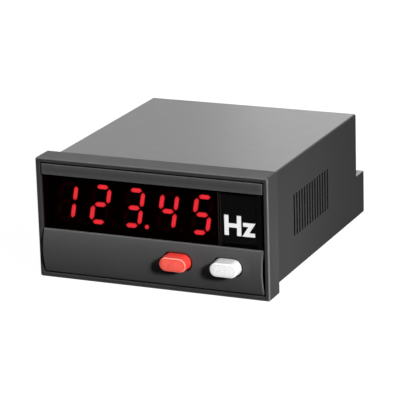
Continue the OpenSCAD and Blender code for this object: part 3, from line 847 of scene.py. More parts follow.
@dataclass(frozen=True)
class Layers(Finish):
    """Sheets or turns stacked along one axis."""

    light: Colour
    dark: Colour
    axis: str
    pitch: float
    metallic: float = 0.0
    roughness: float = 0.5
    depth: float = 0.06
    wobble: float = 0.4

    def shader(self, graph: Graph) -> Socket:
        """A wave along the axis is the height; its troughs have the dark colour.

        Args:
            graph: The new material's empty graph.

        Returns:
            The last shader.
        """
        wave = graph.wave(self.pitch, self.axis, self.wobble)
        colour = graph.mixed(graph.ranged(wave, 0, 1, 0.1, 0.6), self.dark, self.light)
        return graph.surface(
            Base_Color=colour,
            Metallic=self.metallic,
            Roughness=graph.ranged(graph.noise(2), self.roughness - 0.06, self.roughness + 0.06),
            Normal=graph.relief(wave, self.depth),
        )


@dataclass(frozen=True)
class SolderMask(Finish):
    """A circuit board's green lacquer over copper tracks."""

    lacquer: Colour = (0.008, 0.085, 0.03)
    track: Colour = (0.02, 0.17, 0.06)
    pitch: float = 1.9
    depth: float = 0.035

    def shader(self, graph: Graph) -> Socket:
        """Tracks are the joints of a brick pattern, pale and slightly raised.

        Args:
            graph: The new material's empty graph.

        Returns:
            The last shader.
        """
        inputs = {"Vector": graph.place((1, 1, 0.01)), "Scale": 1 / (self.pitch * MM),
                  "Mortar Size": 0.16, "Mortar Smooth": 0.3, "Brick Width": 3.1, "Row Height": 1.0}
        joints = graph.add("TexBrick", inputs, offset=0.37, squash=0.6).outputs["Fac"]
        cover = graph.ranged(graph.noise(7), 0, 1, 0.45, 0.55)
        tracks = graph.math("MULTIPLY", joints, cover)
        return graph.surface(
            Base_Color=graph.mixed(tracks, self.lacquer, self.track),
            Roughness=graph.ranged(graph.noise(3), 0.28, 0.42),
            Normal=graph.relief(tracks, self.depth),
        )


@dataclass(frozen=True)
class SleevedCan(Finish):
    """A capacitor: a shrink sleeve with a pale stripe, and bare aluminium on top."""

    sleeve: Colour
    stripe: Colour
    bare: Colour = (0.6, 0.6, 0.62)
    pitch: float = 9.0
    stripe_from: float = 0.95

    def shader(self, graph: Graph) -> Socket:
        """The stripe lies where a slow wave along X peaks; faces that look up are bare.

        Args:
            graph: The new material's empty graph.

        Returns:
            The last shader.
        """
        striped = graph.ranged(graph.wave(self.pitch, "X"), 0, 1, self.stripe_from - 0.02,
                               self.stripe_from + 0.02)
        skin = graph.mixed(striped, self.sleeve, self.stripe)
        upward = graph.axes(graph.add("NewGeometry").outputs["Normal"])[2]
        bare = graph.ranged(upward, 0, 1, 0.9, 0.95)
        return graph.surface(
            Base_Color=graph.mixed(bare, skin, self.bare),
            Metallic=bare,
            Roughness=graph.ranged(graph.noise(1.5), 0.3, 0.42),
            Normal=graph.relief(graph.noise(0.8), 0.01, 0.2),
        )


@dataclass(frozen=True)
class SmokedWindow(Finish):
    """A clear pane, dark red before the digits and plain smoke before the unit card."""

    border: float
    clear_to: float
    red: Colour = (0.95, 0.35, 0.4)
    smoke: Colour = (1.0, 1.0, 1.0)
    haze: Colour = (0.0012, 0.001, 0.001)
    seam: Colour = (0.023, 0.02, 0.018)
    seam_w: float = 0.26
    ink: Colour = (0.0004, 0.0004, 0.0004)
    card_ink: Colour = (0.003, 0.003, 0.003)
    gloss: float = 0.3
    shine: float = 0.03
    rim_shine: float = 0.3

    def shader(self, graph: Graph) -> Socket:
        """Light passes with the tint of its side of the border; a little shines back.

        Beyond the clear width the pane is printed black behind, so none passes, though the
        print casts no shadow on the card. The cut edge of the red sheet shows as a fine line
        at the border, and more shines back from the pane's own rounded edge, where the tone
        is 1.

        Args:
            graph: The new material's empty graph.

        Returns:
            The last shader.
        """
        x = graph.axes(graph.place())[0]
        side = graph.step(x, self.border, 0, 1, soft=0.05)
        tint = graph.mixed(side, self.red, self.smoke)
        clear = graph.add("BsdfTransparent", {"Color": tint}).outputs[0]
        line = graph.step(graph.away(x, self.border), self.seam_w / 2, 1, 0, soft=0.04)
        haze = graph.mixed(graph.ranged(graph.noise(6), 0, 1), self.haze, shaded(self.haze, 1.5))
        face = graph.surface(
            Base_Color=graph.mixed(line, haze, self.seam),
            Roughness=graph.ranged(graph.noise(12), 0.16, 0.22),
            Specular_IOR_Level=self.gloss,
        )
        printed = graph.step(graph.away(x, 0), self.clear_to, 0, 1, soft=0.02)
        printed = graph.math("MULTIPLY", printed, graph.ranged(graph.seen_by("Shadow"), 1, 0))
        black = graph.mixed(side, self.ink, self.card_ink)
        ink = graph.add("BsdfDiffuse", {"Color": black}).outputs[0]
        rim = graph.ranged(graph.tone(), self.shine, self.rim_shine)
        shine = graph.math("MAXIMUM", rim, line)
        return graph.blend(shine, graph.blend(printed, clear, ink), face)


@dataclass(frozen=True)
class Lamp(Finish):
    """A light window: bright in its middle and deeper in colour at its edge."""

    core: Colour
    rim: Colour
    power: float
    unlit: float = 0.25

    def shader(self, graph: Graph) -> Socket:
        """The tone carries the colour from the rim at 0 to the core at 1, under a faint grain.

        Args:
            graph: The new material's empty graph.

        Returns:
            The last shader.
        """
        tone = graph.tone()
        grain = graph.ranged(graph.noise(0.4), 0.94, 1.0)
        glow = graph.mixed(graph.math("MULTIPLY", tone, grain), self.rim, self.core)
        return graph.surface(
            Base_Color=graph.mixed(tone, shaded(self.rim, self.unlit),
                                   shaded(self.core, self.unlit)),
            Roughness=0.5,
            Specular_IOR_Level=0.2,
            Emission_Color=glow,
            Emission_Strength=self.power,
        )


PANEL = {"roughness": 0.52, "gloss": 0.35, "grain": 0.4, "cloud": 14}
CAP = {"grain": 0.6, "grain_depth": 0.003, "cloud": 4, "edge": 0}
PRINT = {"roughness": 0.6, "grain": 0.3, "grain_depth": 0.001, "cloud": 3, "edge": 0}

# The painted highlight factors paint rounded edges lighter, where light would catch them: a
# painted highlight.
FRAME_PLASTIC = MouldedPlastic("frame_plastic", (0.027, 0.027, 0.0275), 0.6, 0.25, grain=0.4,
                               grain_depth=0.012, worn=3.8)
# The case's hollow behind its vents is painted in shade.
CASE_PLASTIC = MouldedPlastic("case_plastic", (0.0225, 0.0225, 0.023), 0.38, 0.72, grain=0.4,
                              grain_depth=0.008, cloud=6, mottle=0.02,
                              hollow=(45.45, 22, 60.4, 8.65))
COVER_GREY = MouldedPlastic("cover_grey", (0.046, 0.046, 0.047), **PANEL, worn=1.5)
TRIM_GREY = MouldedPlastic("trim_grey", (0.039, 0.039, 0.0395), **PANEL, worn=2.4)
MASK_BLACK = MouldedPlastic("mask_black", (0.0006, 0.0006, 0.0006), 0.8, 0.03)
CARD_BLACK = MouldedPlastic("card_black", (0.003, 0.003, 0.003), 0.8, 0.05)
DIGIT_BODY = MouldedPlastic("digit_body", (0.0006, 0.0005, 0.0005), 0.8, 0.03)
# The caps' rims and faces are painted lighter by their factor: a painted highlight, strongest on
# the red cap's rim.
BUTTON_RED = MouldedPlastic("button_red", (0.79, 0.045, 0.034), 0.42, 0.5, **CAP, mottle=0.05,
                            worn=6)
BUTTON_WHITE = MouldedPlastic("button_white", (0.62, 0.62, 0.62), 0.4, 0.3, **CAP, mottle=0.02,
                              worn=1.5)
SWITCH_BLACK = MouldedPlastic("switch_plastic", (0.02, 0.02, 0.02), 0.45)
SWITCH_GREY = MouldedPlastic("switch_body", (0.06, 0.06, 0.062))
HEADER_BLACK = MouldedPlastic("header_black", (0.015, 0.015, 0.016), grain=0.2)
TERMINAL_NYLON = MouldedPlastic("terminal_nylon", (0.02, 0.02, 0.022), 0.4, grain=0.3,
                                grain_depth=0.004)
SCREW_STEEL = DrawnMetal("screw_steel", (0.62, 0.62, 0.65))
CLAMP_BRASS = DrawnMetal("clamp_brass", (0.66, 0.47, 0.2), 0.32)
SINK_ALUMINIUM = DrawnMetal("sink_aluminium", (0.72, 0.72, 0.74), 0.34, (1.0, 1.0, 0.06))
CORE_STEEL = Layers("core_steel", (0.2, 0.19, 0.18), (0.04, 0.03, 0.025), "Y", pitch=0.5,
                    metallic=0.8, roughness=0.45)
COIL_TAPE = Layers("coil_copper", (0.62, 0.36, 0.05), (0.4, 0.2, 0.03), "Z", pitch=1.1,
                   roughness=0.35)
BOARD_GREEN = SolderMask("board_green")
CAN_BLUE = SleevedCan("can_blue", (0.01, 0.02, 0.09), (0.55, 0.57, 0.6))
SEGMENT_LIT = Lamp("segment_lit", (0.74, 0.22, 0.24), (0.36, 0.08, 0.10), power=1.14)
# The unlit bars give off a faint glow: painted light, as they are not lit.
SEGMENT_DARK = Lamp("segment_dark", (0.0034, 0.001, 0.002), (0.0012, 0.0004, 0.0008), power=1.0)
LETTER_WHITE = MouldedPlastic("letter_white", (0.86, 0.86, 0.86), gloss=0.2, **PRINT, mottle=0.02)
INK_GREY = MouldedPlastic("ink_grey", (0.5, 0.5, 0.5), gloss=0.3, **PRINT, mottle=0.04)


# ---- Sub-assemblies ------------------------------------------------------------------


def put(name: str, data: bpy.types.ID) -> bpy.types.Object:
    """A new object in the scene, which holds a mesh, a curve, a lamp or a camera.

    Args:
        name: The object's name.
        data: What it holds.

    Returns:
        The object.
    """
    holder = bpy.data.objects.new(name, data)
    bpy.context.scene.collection.objects.link(holder)
    return holder


def corners_of(node: str) -> tuple[Array, Array]:
    """The lowest and the highest corner of a node's solid, in millimetres."""
    low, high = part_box(node)
    return np.array(low) / MM, np.array(high) / MM


@dataclass
class SubAssembly:
    """Pieces that belong together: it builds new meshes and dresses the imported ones."""

    frame: dict
    pieces: list[bpy.types.Object] = field(default_factory=list, init=False)

    def add(self, name: str, surface: Surface, finish: Finish, slot: str, *replaces: str,
            body: str = "meter") -> None:
        """Put a new piece into the scene.

        Args:
            name: The piece's name.
            surface: Its surface, in place.
            finish: The finish that makes its material.
            slot: The record's material slot; not used.
            *replaces: The nodes that it stands for.
            body: The body that it rides on.
        """
        mesh = surface.mesh(name)
        piece = put(name, mesh)
        mesh.materials.append(finish.material())
        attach(piece, body)
        if replaces:
            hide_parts(*replaces)
        self.pieces.append(piece)
        log.info("%s: built %s, %d faces, on %s", type(self).__name__, name,
                 len(mesh.polygons), body)

    def coat(self, finish: Finish, *nodes: str) -> None:
        """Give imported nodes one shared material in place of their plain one.

        Args:
            finish: The finish that makes the material.
            *nodes: The nodes' names.
        """
        material = finish.material()
        for node in nodes:
            for place in self.frame["nodes"][node].material_slots:
                place.material = material
        log.info("%s: dressed %s in %s", type(self).__name__, ", ".join(nodes), finish.name)

    def build(self) -> None:
        """Make the new pieces; a sub-assembly without any keeps this."""

    def dress(self) -> None:
        """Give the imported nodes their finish; a sub-assembly without any keeps this."""


@dataclass
class FrontFrame(SubAssembly):
    """The moulded bezel: a ring with rounded outer edges, a rim, a ledge and a socket."""

    groove: float = 0.6
    edge_r: float = 0.6
    rim_r: float = 0.3
    corner_r: float = 0.7
    fine_r: float = 0.15
    ledge_t: float = 1.5
    ledge_w: float = 1.2
    socket_gap: float = 0.1

    def build(self) -> None:
        """Carry the ring's section round rounded rectangles.

        The section's corners, each given as half a width, half a height, a place along Y
        and a corner radius, run from the rear edge forward over the rim, in to the ledge
        and back through the socket. Each corner is then rounded. The tone is 1 on the
        outer front edge's rounding and 0 from its ends on, 4 (1 - d / r), with d the way
        from the corner.
        """
        low, high = corners_of("front_frame")
        window_high = corners_of("display_filter")[1]
        mask_high = corners_of("display_mask")[1]
        half = high[[0, 2]]
        opening = window_high[[0, 2]] + self.groove
        seat_y, ledge_y = window_high[1], window_high[1] + self.ledge_t
        socket = mask_high[[0, 2]] + 2 * self.socket_gap
        ledge = socket - self.ledge_w - self.socket_gap
        corners = np.array([
            [*half, high[1], self.corner_r],
            [*half, low[1], self.corner_r],
            [*opening, low[1], self.rim_r],
            [*opening, seat_y, self.rim_r],
            [*ledge, seat_y, self.rim_r],
            [*ledge, ledge_y, self.rim_r],
            [*socket, ledge_y, self.rim_r],
            [*socket, high[1], self.rim_r],
        ])
        radii = [self.fine_r, self.edge_r, self.rim_r, 0, 0, 0, 0, self.fine_r]
        stations = rounded_course(corners, radii, closed=True)
        inside = np.abs(stations[:, 0] - half[0]) + np.abs(stations[:, 2] - low[1])
        # The tone marks the outer front edge, which the frame's finish paints lighter: a painted
        # highlight.
        tone = np.clip(4 * (1 - inside / self.edge_r), 0, 1)
        self.add("frame_moulding", loft(rectangle_loops(stations, steps=8), tone), FRAME_PLASTIC,
                 "frame_plastic", "front_frame")


@dataclass
class FacePanel(SubAssembly):
    """What fills the frame: the clear window, the trim strip and the button cover."""

    way_gap: float = 0.6
    way_r: float = 3.0
    way_flat: float = 5.5
    rear_gap: float = 0.05
    pane_edge: float = 0.2
    print_lap: float = 0.4
    trim_edge: float = 0.2
    trim_corner: float = 0.2
    cover_edge: float = 0.3
    cover_t: float = 1.0
    cover_foot: float = 1.2
    collar_t: float = 0.8

    def ways(self) -> tuple[Way, ...]:
        """The ways that the two buttons pass through, from the buttons' own places.

        Returns:
            The red button's way and the white one's.
        """
        found = []
        for node in ("red_button", "white_button"):
            low, high = corners_of(node)
            x, _, z = (low + high) / 2
            found.append(Way(x, z, self.way_flat, self.way_r + self.way_gap))
        return tuple(found)

    def build(self) -> None:
        """Make the pane, the strip and the cover."""
        self.build_pane()
        self.build_trim()
        self.build_cover()

    def build_pane(self) -> None:
        """The pane: its net as a front and a rear sheet."""
        low, high = corners_of("display_filter")
        plate = Plate((low[0], high[0]), (low[2], high[2]), self.ways(), self.pane_edge,
                      self.pane_edge)
        pane = plate.between(plate.net(), low[1], high[1] - self.rear_gap)
        card_low, card_high = corners_of("unit_card")
        finish = SmokedWindow("window_red", card_low[0], card_high[0] - self.print_lap)
        self.add("window_pane", pane, finish, "window_red", "display_filter")

    def build_trim(self) -> None:
        """The strip: a rectangle's loops from its rear edge forward, closing to a line."""
        low, high = corners_of("upper_trim")
        half_w, half_h = (high[0] - low[0]) / 2, (high[2] - low[2]) / 2
        corners = np.array([
            [half_w - half_h, 0, high[1], 0],
            [half_w, half_h, high[1], self.trim_corner],
            [half_w, half_h, low[1], self.trim_corner],
            [half_w - half_h, 0, low[1], 0],
        ])
        stations = rounded_course(corners, [0, 0, self.trim_edge, 0])
        # The tone marks the strip's rounded front edge, which its finish paints lighter: a painted
        # highlight.
        reach = stations[:, 0].max() - stations[:, 0]
        surface = loft(rectangle_loops(stations), np.clip(1 - reach / (2 * self.trim_edge), 0, 1))
        surface.points[:, 2] += (low[2] + high[2]) / 2
        self.add("trim_strip", surface, TRIM_GREY, "cover_grey", "upper_trim")

    def build_cover(self) -> None:
        """The cover: an arched sheet, open at both ends, with rounded edges.

        With b the bulge and h the cover's height, the face's radius is
        r = (h h / 4 + b b) / (2 b), and the face stands at crest + r - sqrt(r r - z z). The
        rear face has the same axis and a radius less by the sheet's thickness t, so it
        stands at crest + r - sqrt((r - t) (r - t) - z z). Feet and collars reach the pane.
        """
        low, high = corners_of("button_cover")
        plate = Plate((low[0], high[0]), (low[2], high[2]), self.ways(), self.cover_edge,
                      self.cover_edge, self.cover_foot, self.collar_t)
        net = plate.net()
        height, bulge = high[2] - low[2], high[1] - low[1] - self.cover_t
        radius = (height**2 / 4 + bulge**2) / (2 * bulge)
        z = net.points[:, 2] - (low[2] + high[2]) / 2
        face = low[1] + radius - np.sqrt(radius**2 - z**2)
        hollow = low[1] + radius - np.sqrt((radius - self.cover_t) ** 2 - z**2)
        rear = np.where(plate.stands(net.points), high[1], np.minimum(hollow, high[1]))
        # The tone over the cover's rounded edges is painted lighter by its finish: a painted
        # highlight.
        self.add("cover_panel", plate.between(net, face, rear), COVER_GREY, "cover_grey",
                 "button_cover")


class Segment(Enum):
    """The seven bars of a numeral: place in half widths and half heights, and upright."""

    TOP = (0, 1, False)
    UPPER_RIGHT = (1, 0.5, True)
    LOWER_RIGHT = (1, -0.5, True)
    BOTTOM = (0, -1, False)
    LOWER_LEFT = (-1, -0.5, True)
    UPPER_LEFT = (-1, 0.5, True)
    MIDDLE = (0, 0, False)


# The bars of each numeral, in the order of Segment
NUMERALS = ("1111110", "0110000", "1101101", "1111001", "0110011",
            "1011011", "1011111", "1110000", "1111111", "1111011")


@dataclass
class Display(SubAssembly):
    """The digit row behind the window, and the card with the unit's symbol."""

    shown: str = "123.45"
    numeral_w: float = 7.9
    numeral_h: float = 16.0
    bar_w: float = 1.78
    bar_gap: float = 0.55
    bar_edge: float = 0.3
    lean: float = math.radians(10)
    point_r: float = 0.85
    point_x: float = 5.1
    face_gap: float = 0.02
    symbol: str = "Hz"
    symbol_h: float = 10.6
    symbol_weight: float = 0.34
    symbol_x: float = 34.9
    symbol_z: float = 3.2

    def bar_outline(self, segment: Segment) -> Array:
        """A bar with pointed, slightly rounded ends.

        Its six corners are (+-l, 0) and (+-(l - t), +-t), with l half its length and t half
        its width. The numeral's lean carries each point to x + z tan(lean).

        Args:
            segment: Which bar.

        Returns:
            One row of x and z for each point, round the numeral's middle.
        """
        column, row, upright = segment.value
        half = np.array([self.numeral_w - self.bar_w, self.numeral_h - self.bar_w]) / 2
        length = (half[1] / 2 if upright else half[0]) - self.bar_gap
        thin = self.bar_w / 2
        corners = np.array([[-length, 0], [thin - length, thin], [length - thin, thin],
                            [length, 0], [length - thin, -thin], [thin - length, -thin]])
        outline = rounded_course(corners, [self.bar_edge] * 6, steps=4, closed=True)[:-1]
        outline = outline[:, ::-1] if upright else outline
        return outline + half * [column, row]

    def point_outline(self) -> Array:
        """The decimal point: a circle beside the numeral's foot.

        Returns:
            One row of x and z for each point, round the numeral's middle.
        """
        angle = np.linspace(0, 2 * math.pi, 24, endpoint=False)
        middle = [self.point_x, (self.bar_w - self.numeral_h) / 2]
        return middle + self.point_r * np.stack([np.cos(angle), np.sin(angle)], axis=1)

    def light_window(self, outline: Array, place: Array, depth: tuple[float, float],
                     leans: bool) -> Surface:
        """A flat light window: its outline shrinks to its middle on both faces.

        The tone rises with the way in from the outline, from nought at the edge.

        Args:
            outline: Its outline round the numeral's middle.
            place: The numeral's middle, as x and z.
            depth: Its front and its rear along Y.
            leans: Whether it leans with the numeral.

        Returns:
            The closed surface.
        """
        front, rear = depth
        middle = outline.mean(axis=0)
        rows = np.array([  # share of the outline's size, place along Y and tone
            [0, rear, 0], [1, rear, 0], [1, front, 0],
            [0.75, front, 0.8], [0.45, front, 1], [0, front, 1],
        ])
        flat = middle + (outline - middle) * rows[:, 0, None, None]
        x = flat[..., 0] + (flat[..., 1] * math.tan(self.lean) if leans else 0)
        y = np.broadcast_to(rows[:, 1, None], x.shape)
        loops = np.stack([place[0] + x, y, place[1] + flat[..., 1]], axis=-1)
        return loft(loops, rows[:, 2])

    def build(self) -> None:
        """Make the lit and the unlit light windows and the unit's symbol."""
        figures = self.shown.replace(".", "")
        point_after = self.shown.index(".") - 1
        low, high = corners_of("lit_segments")
        depth = (low[1] + self.face_gap, high[1])
        windows: dict[bool, list[Surface]] = {True: [], False: []}
        for index, figure in enumerate(figures):
            digit_low, digit_high = corners_of(f"digit_{index + 1}")
            place = ((digit_low + digit_high) / 2)[[0, 2]]
            for segment, state in zip(Segment, NUMERALS[int(figure)]):
                outline = self.bar_outline(segment)
                windows[state == "1"].append(self.light_window(outline, place, depth, True))
            point = self.light_window(self.point_outline(), place, depth, False)
            windows[index == point_after].append(point)
        self.add("glowing_segments", Surface.merged(windows[True]), SEGMENT_LIT, "segment_lit",
                 "lit_segments")
        self.add("unlit_segments", Surface.merged(windows[False]), SEGMENT_DARK, "segment_dark",
                 "dark_segments")
        card_y = corners_of("unit_card")[0][1]
        place = (self.symbol_x, card_y - self.face_gap, self.symbol_z)
        letters = lettering([(self.symbol, place)], self.symbol_h, self.face_gap,
                            self.symbol_weight, Facing.FRONT)
        self.add("unit_symbol", letters, LETTER_WHITE, "button_white")

    def dress(self) -> None:
        """Finish the mask, the card and the digit modules."""
        self.coat(MASK_BLACK, "display_mask")
        self.coat(CARD_BLACK, "unit_card")
        self.coat(DIGIT_BODY, *(f"digit_{number}" for number in range(1, 6)))


class Facing(Enum):
    """Which way letters look, as a turn about Z after they stand upright."""

    FRONT = 0.0
    REAR = math.pi


def lettering(words: Sequence[tuple[str, tuple[float, float, float]]], height: float,
              thickness: float, weight: float, facing: Facing) -> Surface:
    """Plain raised letters.

    Each word is laid out flat, stood up by a quarter turn about X, turned to its side and
    moved to its place.

    Args:
        words: Each word with the place of its middle.
        height: The letters' size.
        thickness: How far they stand out to both sides of their place.
        weight: How far their outlines are pushed out.
        facing: Which way they look.

    Returns:
        The letters in place.
    """
    parts = []
    for word, place in words:
        curve = bpy.data.curves.new(word, "FONT")
        curve.body = word
        curve.size, curve.offset = height, weight
        curve.extrude = thickness
        curve.resolution_u = 4
        curve.space_character = 1.08
        curve.align_x, curve.align_y = "CENTER", "CENTER"
        holder = put(word, curve)
        bpy.context.view_layer.update()
        mesh = bpy.data.meshes.new_from_object(holder)
        mesh.transform(Matrix.Translation(place) @ Matrix.Rotation(facing.value, 4, "Z")
                       @ Matrix.Rotation(math.pi / 2, 4, "X"))
        mesh.calc_loop_triangles()
        points = np.empty(len(mesh.vertices) * 3)
        mesh.vertices.foreach_get("co", points)
        corners = np.empty(len(mesh.loop_triangles) * 3, int)
        mesh.loop_triangles.foreach_get("vertices", corners)
        corners = corners.reshape(-1, 3)
        parts.append(Surface(points.reshape(-1, 3), corners[:, [0, 1, 2, 2]]))
        bpy.data.objects.remove(holder)
        bpy.data.meshes.remove(mesh)
        bpy.data.curves.remove(curve)
    return Surface.merged(parts)


class Key(Enum):
    """The two push buttons: name, finish, and the share of painted light on the face, painted
    lighter than the sides.
    """

    # The third value is the share of painted light on the cap's face.
    RED = ("red", BUTTON_RED, 0.36)
    WHITE = ("white", BUTTON_WHITE, 0.7)


@dataclass
class PushButton(SubAssembly):
    """A tapered cap that passes through the cover, with the lip that keeps it in."""

    key: Key = Key.RED
    flat: float = 5.5
    face_r: float = 2.7
    root_r: float = 3.0
    stem_r: float = 1.9
    lip_y: float = -6.95
    lip_t: float = 1.2
    edge_r: float = 0.5
    fine_r: float = 0.1
    crown: float = 0.12
    crown_rows: int = 7

    def build(self) -> None:
        """Carry the cap's section round stadiums, from its face back to the end of its stem.

        The face is slightly crowned: it stands forward by crown (1 - r r / R R), with R its
        radius inside the rounded edge. The tone is 1 on that edge, 3 (1 - d / r) with d the
        way from its corner, and the key's lower share on the face. The finish paints the edge
        lighter as a painted highlight, and the face with painted light, lighter than the sides.
        """
        colour, finish, face_highlight = self.key.value
        low, high = corners_of(f"{colour}_button")
        middle = (low + high) / 2
        lip_r = (high[2] - low[2]) / 2
        lip_rear = self.lip_y + self.lip_t
        face_y = low[1] + self.crown
        corners = np.array([
            [0, face_y], [self.face_r, face_y], [self.root_r, corners_of("button_cover")[0][1]],
            [self.root_r, self.lip_y], [lip_r, self.lip_y], [lip_r, lip_rear],
            [self.stem_r, lip_rear], [self.stem_r, high[1]], [0, high[1]],
        ])
        fine = self.fine_r
        radii = [0, self.edge_r, 0, 0, fine, fine, 0, fine, 0]
        stations = rounded_course(corners, radii, steps=8)
        inside = self.face_r - self.edge_r - HOLD
        crown_r = np.linspace(0, inside, self.crown_rows)[:-1]
        face = np.stack([crown_r, np.full(len(crown_r), face_y)], axis=1)
        stations = np.concatenate([face, stations[1:]])
        on_face = (stations[:, 0] < inside) & (stations[:, 1] <= face_y)
        stations[on_face, 1] -= self.crown * (1 - (stations[on_face, 0] / inside) ** 2)
        away = np.abs(stations - [self.face_r, face_y]).sum(axis=1)
        # The edge is a painted highlight, and the face takes a share of painted light.
        tone = np.clip(3 * (1 - away / self.edge_r), face_highlight * on_face, 1)
        surface = loft(stadium_loops(self.flat, stations), tone)
        surface.points += [middle[0], 0, middle[2]]
        self.add(f"{colour}_cap", surface, finish, f"button_{colour}", f"{colour}_button",
                 body=f"{colour}_key")

    def dress(self) -> None:
        """Finish the plunger and the switch behind the cap."""
        colour = self.key.value[0]
        self.coat(SWITCH_BLACK, f"{colour}_plunger")
        self.coat(SWITCH_GREY, f"{colour}_switch")


@dataclass
class Case(SubAssembly):
    """The moulded case and the plain numbers over its terminals."""

    pole_pitch: float = 5.08
    block_end: float = 0.7
    number_h: float = 3.0
    number_z: float = -2.0
    number_t: float = 0.03
    number_weight: float = 0.03
    step_d: float = 9.0

    def build(self) -> None:
        """Number the terminals from the left as seen from behind, above their blocks."""
        rear_y = corners_of("signal_terminal")[0][1] + self.step_d
        places = []
        for block in ("supply_terminal", "signal_terminal"):
            low, high = corners_of(block)
            count = round((high[0] - low[0] - 2 * self.block_end) / self.pole_pitch)
            first = high[0] - self.block_end - self.pole_pitch / 2
            places += [first - pole * self.pole_pitch for pole in range(count)]
        words = [(str(number), (x, rear_y, self.number_z)) for number, x in enumerate(places, 1)]
        letters = lettering(words, self.number_h, self.number_t, self.number_weight, Facing.REAR)
        self.add("terminal_numbers", letters, INK_GREY, "button_white")

    def dress(self) -> None:
        """Finish the case, and the terminals in its rear step."""
        self.coat(CASE_PLASTIC, "housing")
        self.coat(TERMINAL_NYLON, "signal_terminal", "supply_terminal")
        self.coat(SCREW_STEEL, "terminal_screws", "board_screws")
        self.coat(CLAMP_BRASS, "wire_clamps", "terminal_pins")


@dataclass
class Electronics(SubAssembly):
    """The boards inside the case and what stands on them."""

    def dress(self) -> None:
        """Finish the boards and their parts."""
        self.coat(BOARD_GREEN, "display_board", "main_board", "input_board")
        self.coat(HEADER_BLACK, "main_header", "input_header", "processor_chip",
                  "converter_chip", "voltage_regulator")
        self.coat(SINK_ALUMINIUM, "heat_sink", "clock_crystal")
        self.coat(CORE_STEEL, "transformer_core")
        self.coat(COIL_TAPE, "transformer_coil")
        self.coat(CAN_BLUE, "supply_capacitor", "filter_capacitor")


# ---- Studio --------------------------------------------------------------------------


def direction(azimuth: float, elevation: float) -> Vector:
    """The unit step towards an azimuth and elevation: azimuth 0 is -Y and 90 is +X.

    Args:
        azimuth: Turn about Z in degrees.
        elevation: Rise over the level in degrees.

    Returns:
        The step.
    """
    turn, rise = math.radians(azimuth), math.radians(elevation)
    flat = math.cos(rise)
    return Vector((math.sin(turn) * flat, -math.cos(turn) * flat, math.sin(rise)))


@dataclass(frozen=True)
class Softbox:
    """A square soft lamp. Its level is how bright it makes a white card that faces it."""

    name: str
    azimuth: float
    elevation: float
    distance: float
    side: float
    level: float
    aim: tuple[float, float, float] = (0.0, 45.0, 0.0)
    glint: bool = False

    def place(self) -> None:
        """Hang the lamp, at its distance from its aim.

        A lamp of power P at distance d lights a white card to P / (pi pi d d), so its power
        is pi pi d d times its level.
        """
        lamp = bpy.data.lights.new(self.name, "AREA")
        lamp.shape, lamp.size = "SQUARE", self.side
        lamp.energy = self.level * (math.pi * self.distance) ** 2
        holder = put(self.name, lamp)
        back = direction(self.azimuth, self.elevation)
        holder.matrix_world = (Matrix.Translation(Vector(self.aim) * MM + back * self.distance)
                               @ back.to_track_quat("Z", "Y").to_matrix().to_4x4())
        holder.visible_camera = False
        holder.visible_glossy = self.glint


@dataclass(frozen=True)
class Gleam:
    """A bright patch of the world that only gloss sees. It fades out round its middle."""

    azimuth: float
    elevation: float
    level: float
    fade: tuple[float, float]


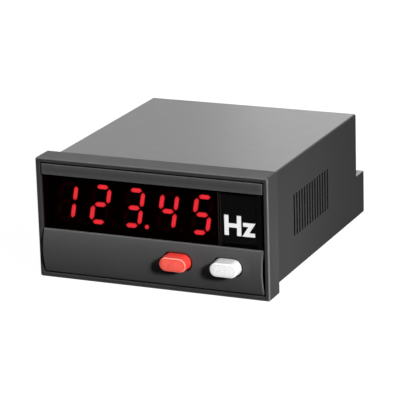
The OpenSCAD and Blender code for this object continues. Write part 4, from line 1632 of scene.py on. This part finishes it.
@dataclass
class Studio:
    """The camera, the soft lamps, the world and the pale floor."""

    azimuth: float = 23.84
    elevation: float = 16.95
    roll: float = -1.70
    distance: float = 0.928
    focal_length: float = 209.97
    sensor: float = 36.0
    target: tuple[float, float, float] = (-1.38, 40.0, -3.33)
    floor_size: float = 6.0
    floor_white: float = 0.86
    floor_pale: Colour = (0.95, 0.95, 0.95)
    floor_dim: Colour = (0.06, 0.06, 0.06)
    floor_glow: float = 1.1
    ambient: float = 0.012
    room: float = 0.035
    gleams: tuple[Gleam, ...] = (
        Gleam(215, 30, 1.3, (0.5, 0.95)),
        Gleam(-53, 61, 9.0, (0.84, 0.96)),
        Gleam(50, 30, 1.2, (0.6, 0.95)),
    )
    softboxes: tuple[Softbox, ...] = (
        Softbox("key_lamp", 54, 22.5, 2.0, 0.3, 2.03),
        Softbox("side_lamp", 100, 3, 0.07, 0.04, 2.3, (48.0, 2.0, -16.0)),
        Softbox("top_lamp", -80, 61, 0.9, 0.3, 0.08),
        Softbox("back_lamp", 218, 10, 0.9, 0.4, 1.2),
        Softbox("rear_lamp", 190, 20, 0.4, 0.15, 0.05, glint=True),
    )

    def place_camera(self) -> None:
        """Stand the camera off its target, level but for the roll, with no shift."""
        back = direction(self.azimuth, self.elevation)
        turn = math.radians(self.azimuth)
        right = Vector((math.cos(turn), math.sin(turn), 0))
        up = back.cross(right)
        roll = math.radians(self.roll)
        side = right * math.cos(roll) + up * math.sin(roll)
        top = up * math.cos(roll) - right * math.sin(roll)
        data = bpy.data.cameras.new("camera")
        data.lens, data.sensor_width = self.focal_length, self.sensor
        camera = put("camera", data)
        matrix = Matrix((side, top, back)).transposed().to_4x4()
        matrix.translation = Vector(self.target) * MM + back * self.distance
        camera.matrix_world = matrix
        bpy.context.scene.camera = camera

    def light(self) -> None:
        """Hang the softboxes, and make the world.

        The world is white to see and dim as a lamp. Gloss sees a white sweep behind, a
        bright strip overhead and a panel where the key lamp hangs, and they fade to a dim
        room: each one's share is its own direction times the ray's, carried from its
        fade's start to its end.
        """
        for softbox in self.softboxes:
            softbox.place()
        graph = Graph(bpy.data.worlds.new("studio"))
        bpy.context.scene.world = graph.owner
        where = graph.add("TexCoord").outputs["Generated"]
        total = self.room
        for gleam in self.gleams:
            inputs = {0: where, 1: direction(gleam.azimuth, gleam.elevation)}
            along = graph.add("VectorMath", inputs, operation="DOT_PRODUCT").outputs["Value"]
            total = graph.math("ADD", total, graph.ranged(along, 0, gleam.level, *gleam.fade))
        dim, mirrored, white = (
            graph.add("Background", {"Color": (1, 1, 1, 1), "Strength": strength}).outputs[0]
            for strength in (self.ambient, total, 1.0)
        )
        lighting = graph.blend(graph.seen_by("Glossy"), dim, mirrored)
        graph.finish(graph.blend(graph.seen_by("Camera", "Transmission"), lighting, white))

    def lay_floor(self, z: float) -> None:
        """Lay a pale floor that keeps a soft share of the shadow.

        Args:
            z: Its height in metres.
        """
        half = self.floor_size / 2 / MM
        corners = np.array([[-half, -half], [half, -half], [half, half], [-half, half]])
        points = np.insert(corners, 2, z / MM, axis=1)
        mesh = Surface(points, np.array([[0, 1, 2, 3]])).mesh("floor")
        graph = Graph(bpy.data.materials.new("floor_paper"))
        seen = graph.seen_by("Camera", "Transmission")
        colour = graph.mixed(seen, self.floor_dim, self.floor_pale)
        paper = graph.add("BsdfDiffuse", {"Color": colour}).outputs[0]
        glow = {"Color": (1, 1, 1, 1), "Strength": self.floor_glow}
        white = graph.add("Emission", glow).outputs[0]
        share = graph.math("MULTIPLY", seen, self.floor_white)
        mesh.materials.append(graph.finish(graph.blend(share, paper, white)))
        put("floor", mesh)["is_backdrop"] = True


def main() -> None:
    """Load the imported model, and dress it."""
    logging.basicConfig(level=logging.INFO, format="%(name)s: %(message)s")
    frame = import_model()
    bpy.context.view_layer.update()
    cad_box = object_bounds()
    studio = Studio()
    studio.place_camera()
    studio.light()
    studio.lay_floor(cad_box[0].z)
    bpy.context.scene.view_settings.view_transform = "Standard"
    assemblies = [
        FrontFrame(frame),
        FacePanel(frame),
        Display(frame),
        *(PushButton(frame, key=key) for key in Key),
        Case(frame),
        Electronics(frame),
    ]
    for assembly in assemblies:
        assembly.build()
        assembly.dress()
    log.info("%d new pieces", sum(len(assembly.pieces) for assembly in assemblies))


if __name__ == "__main__":
    main()
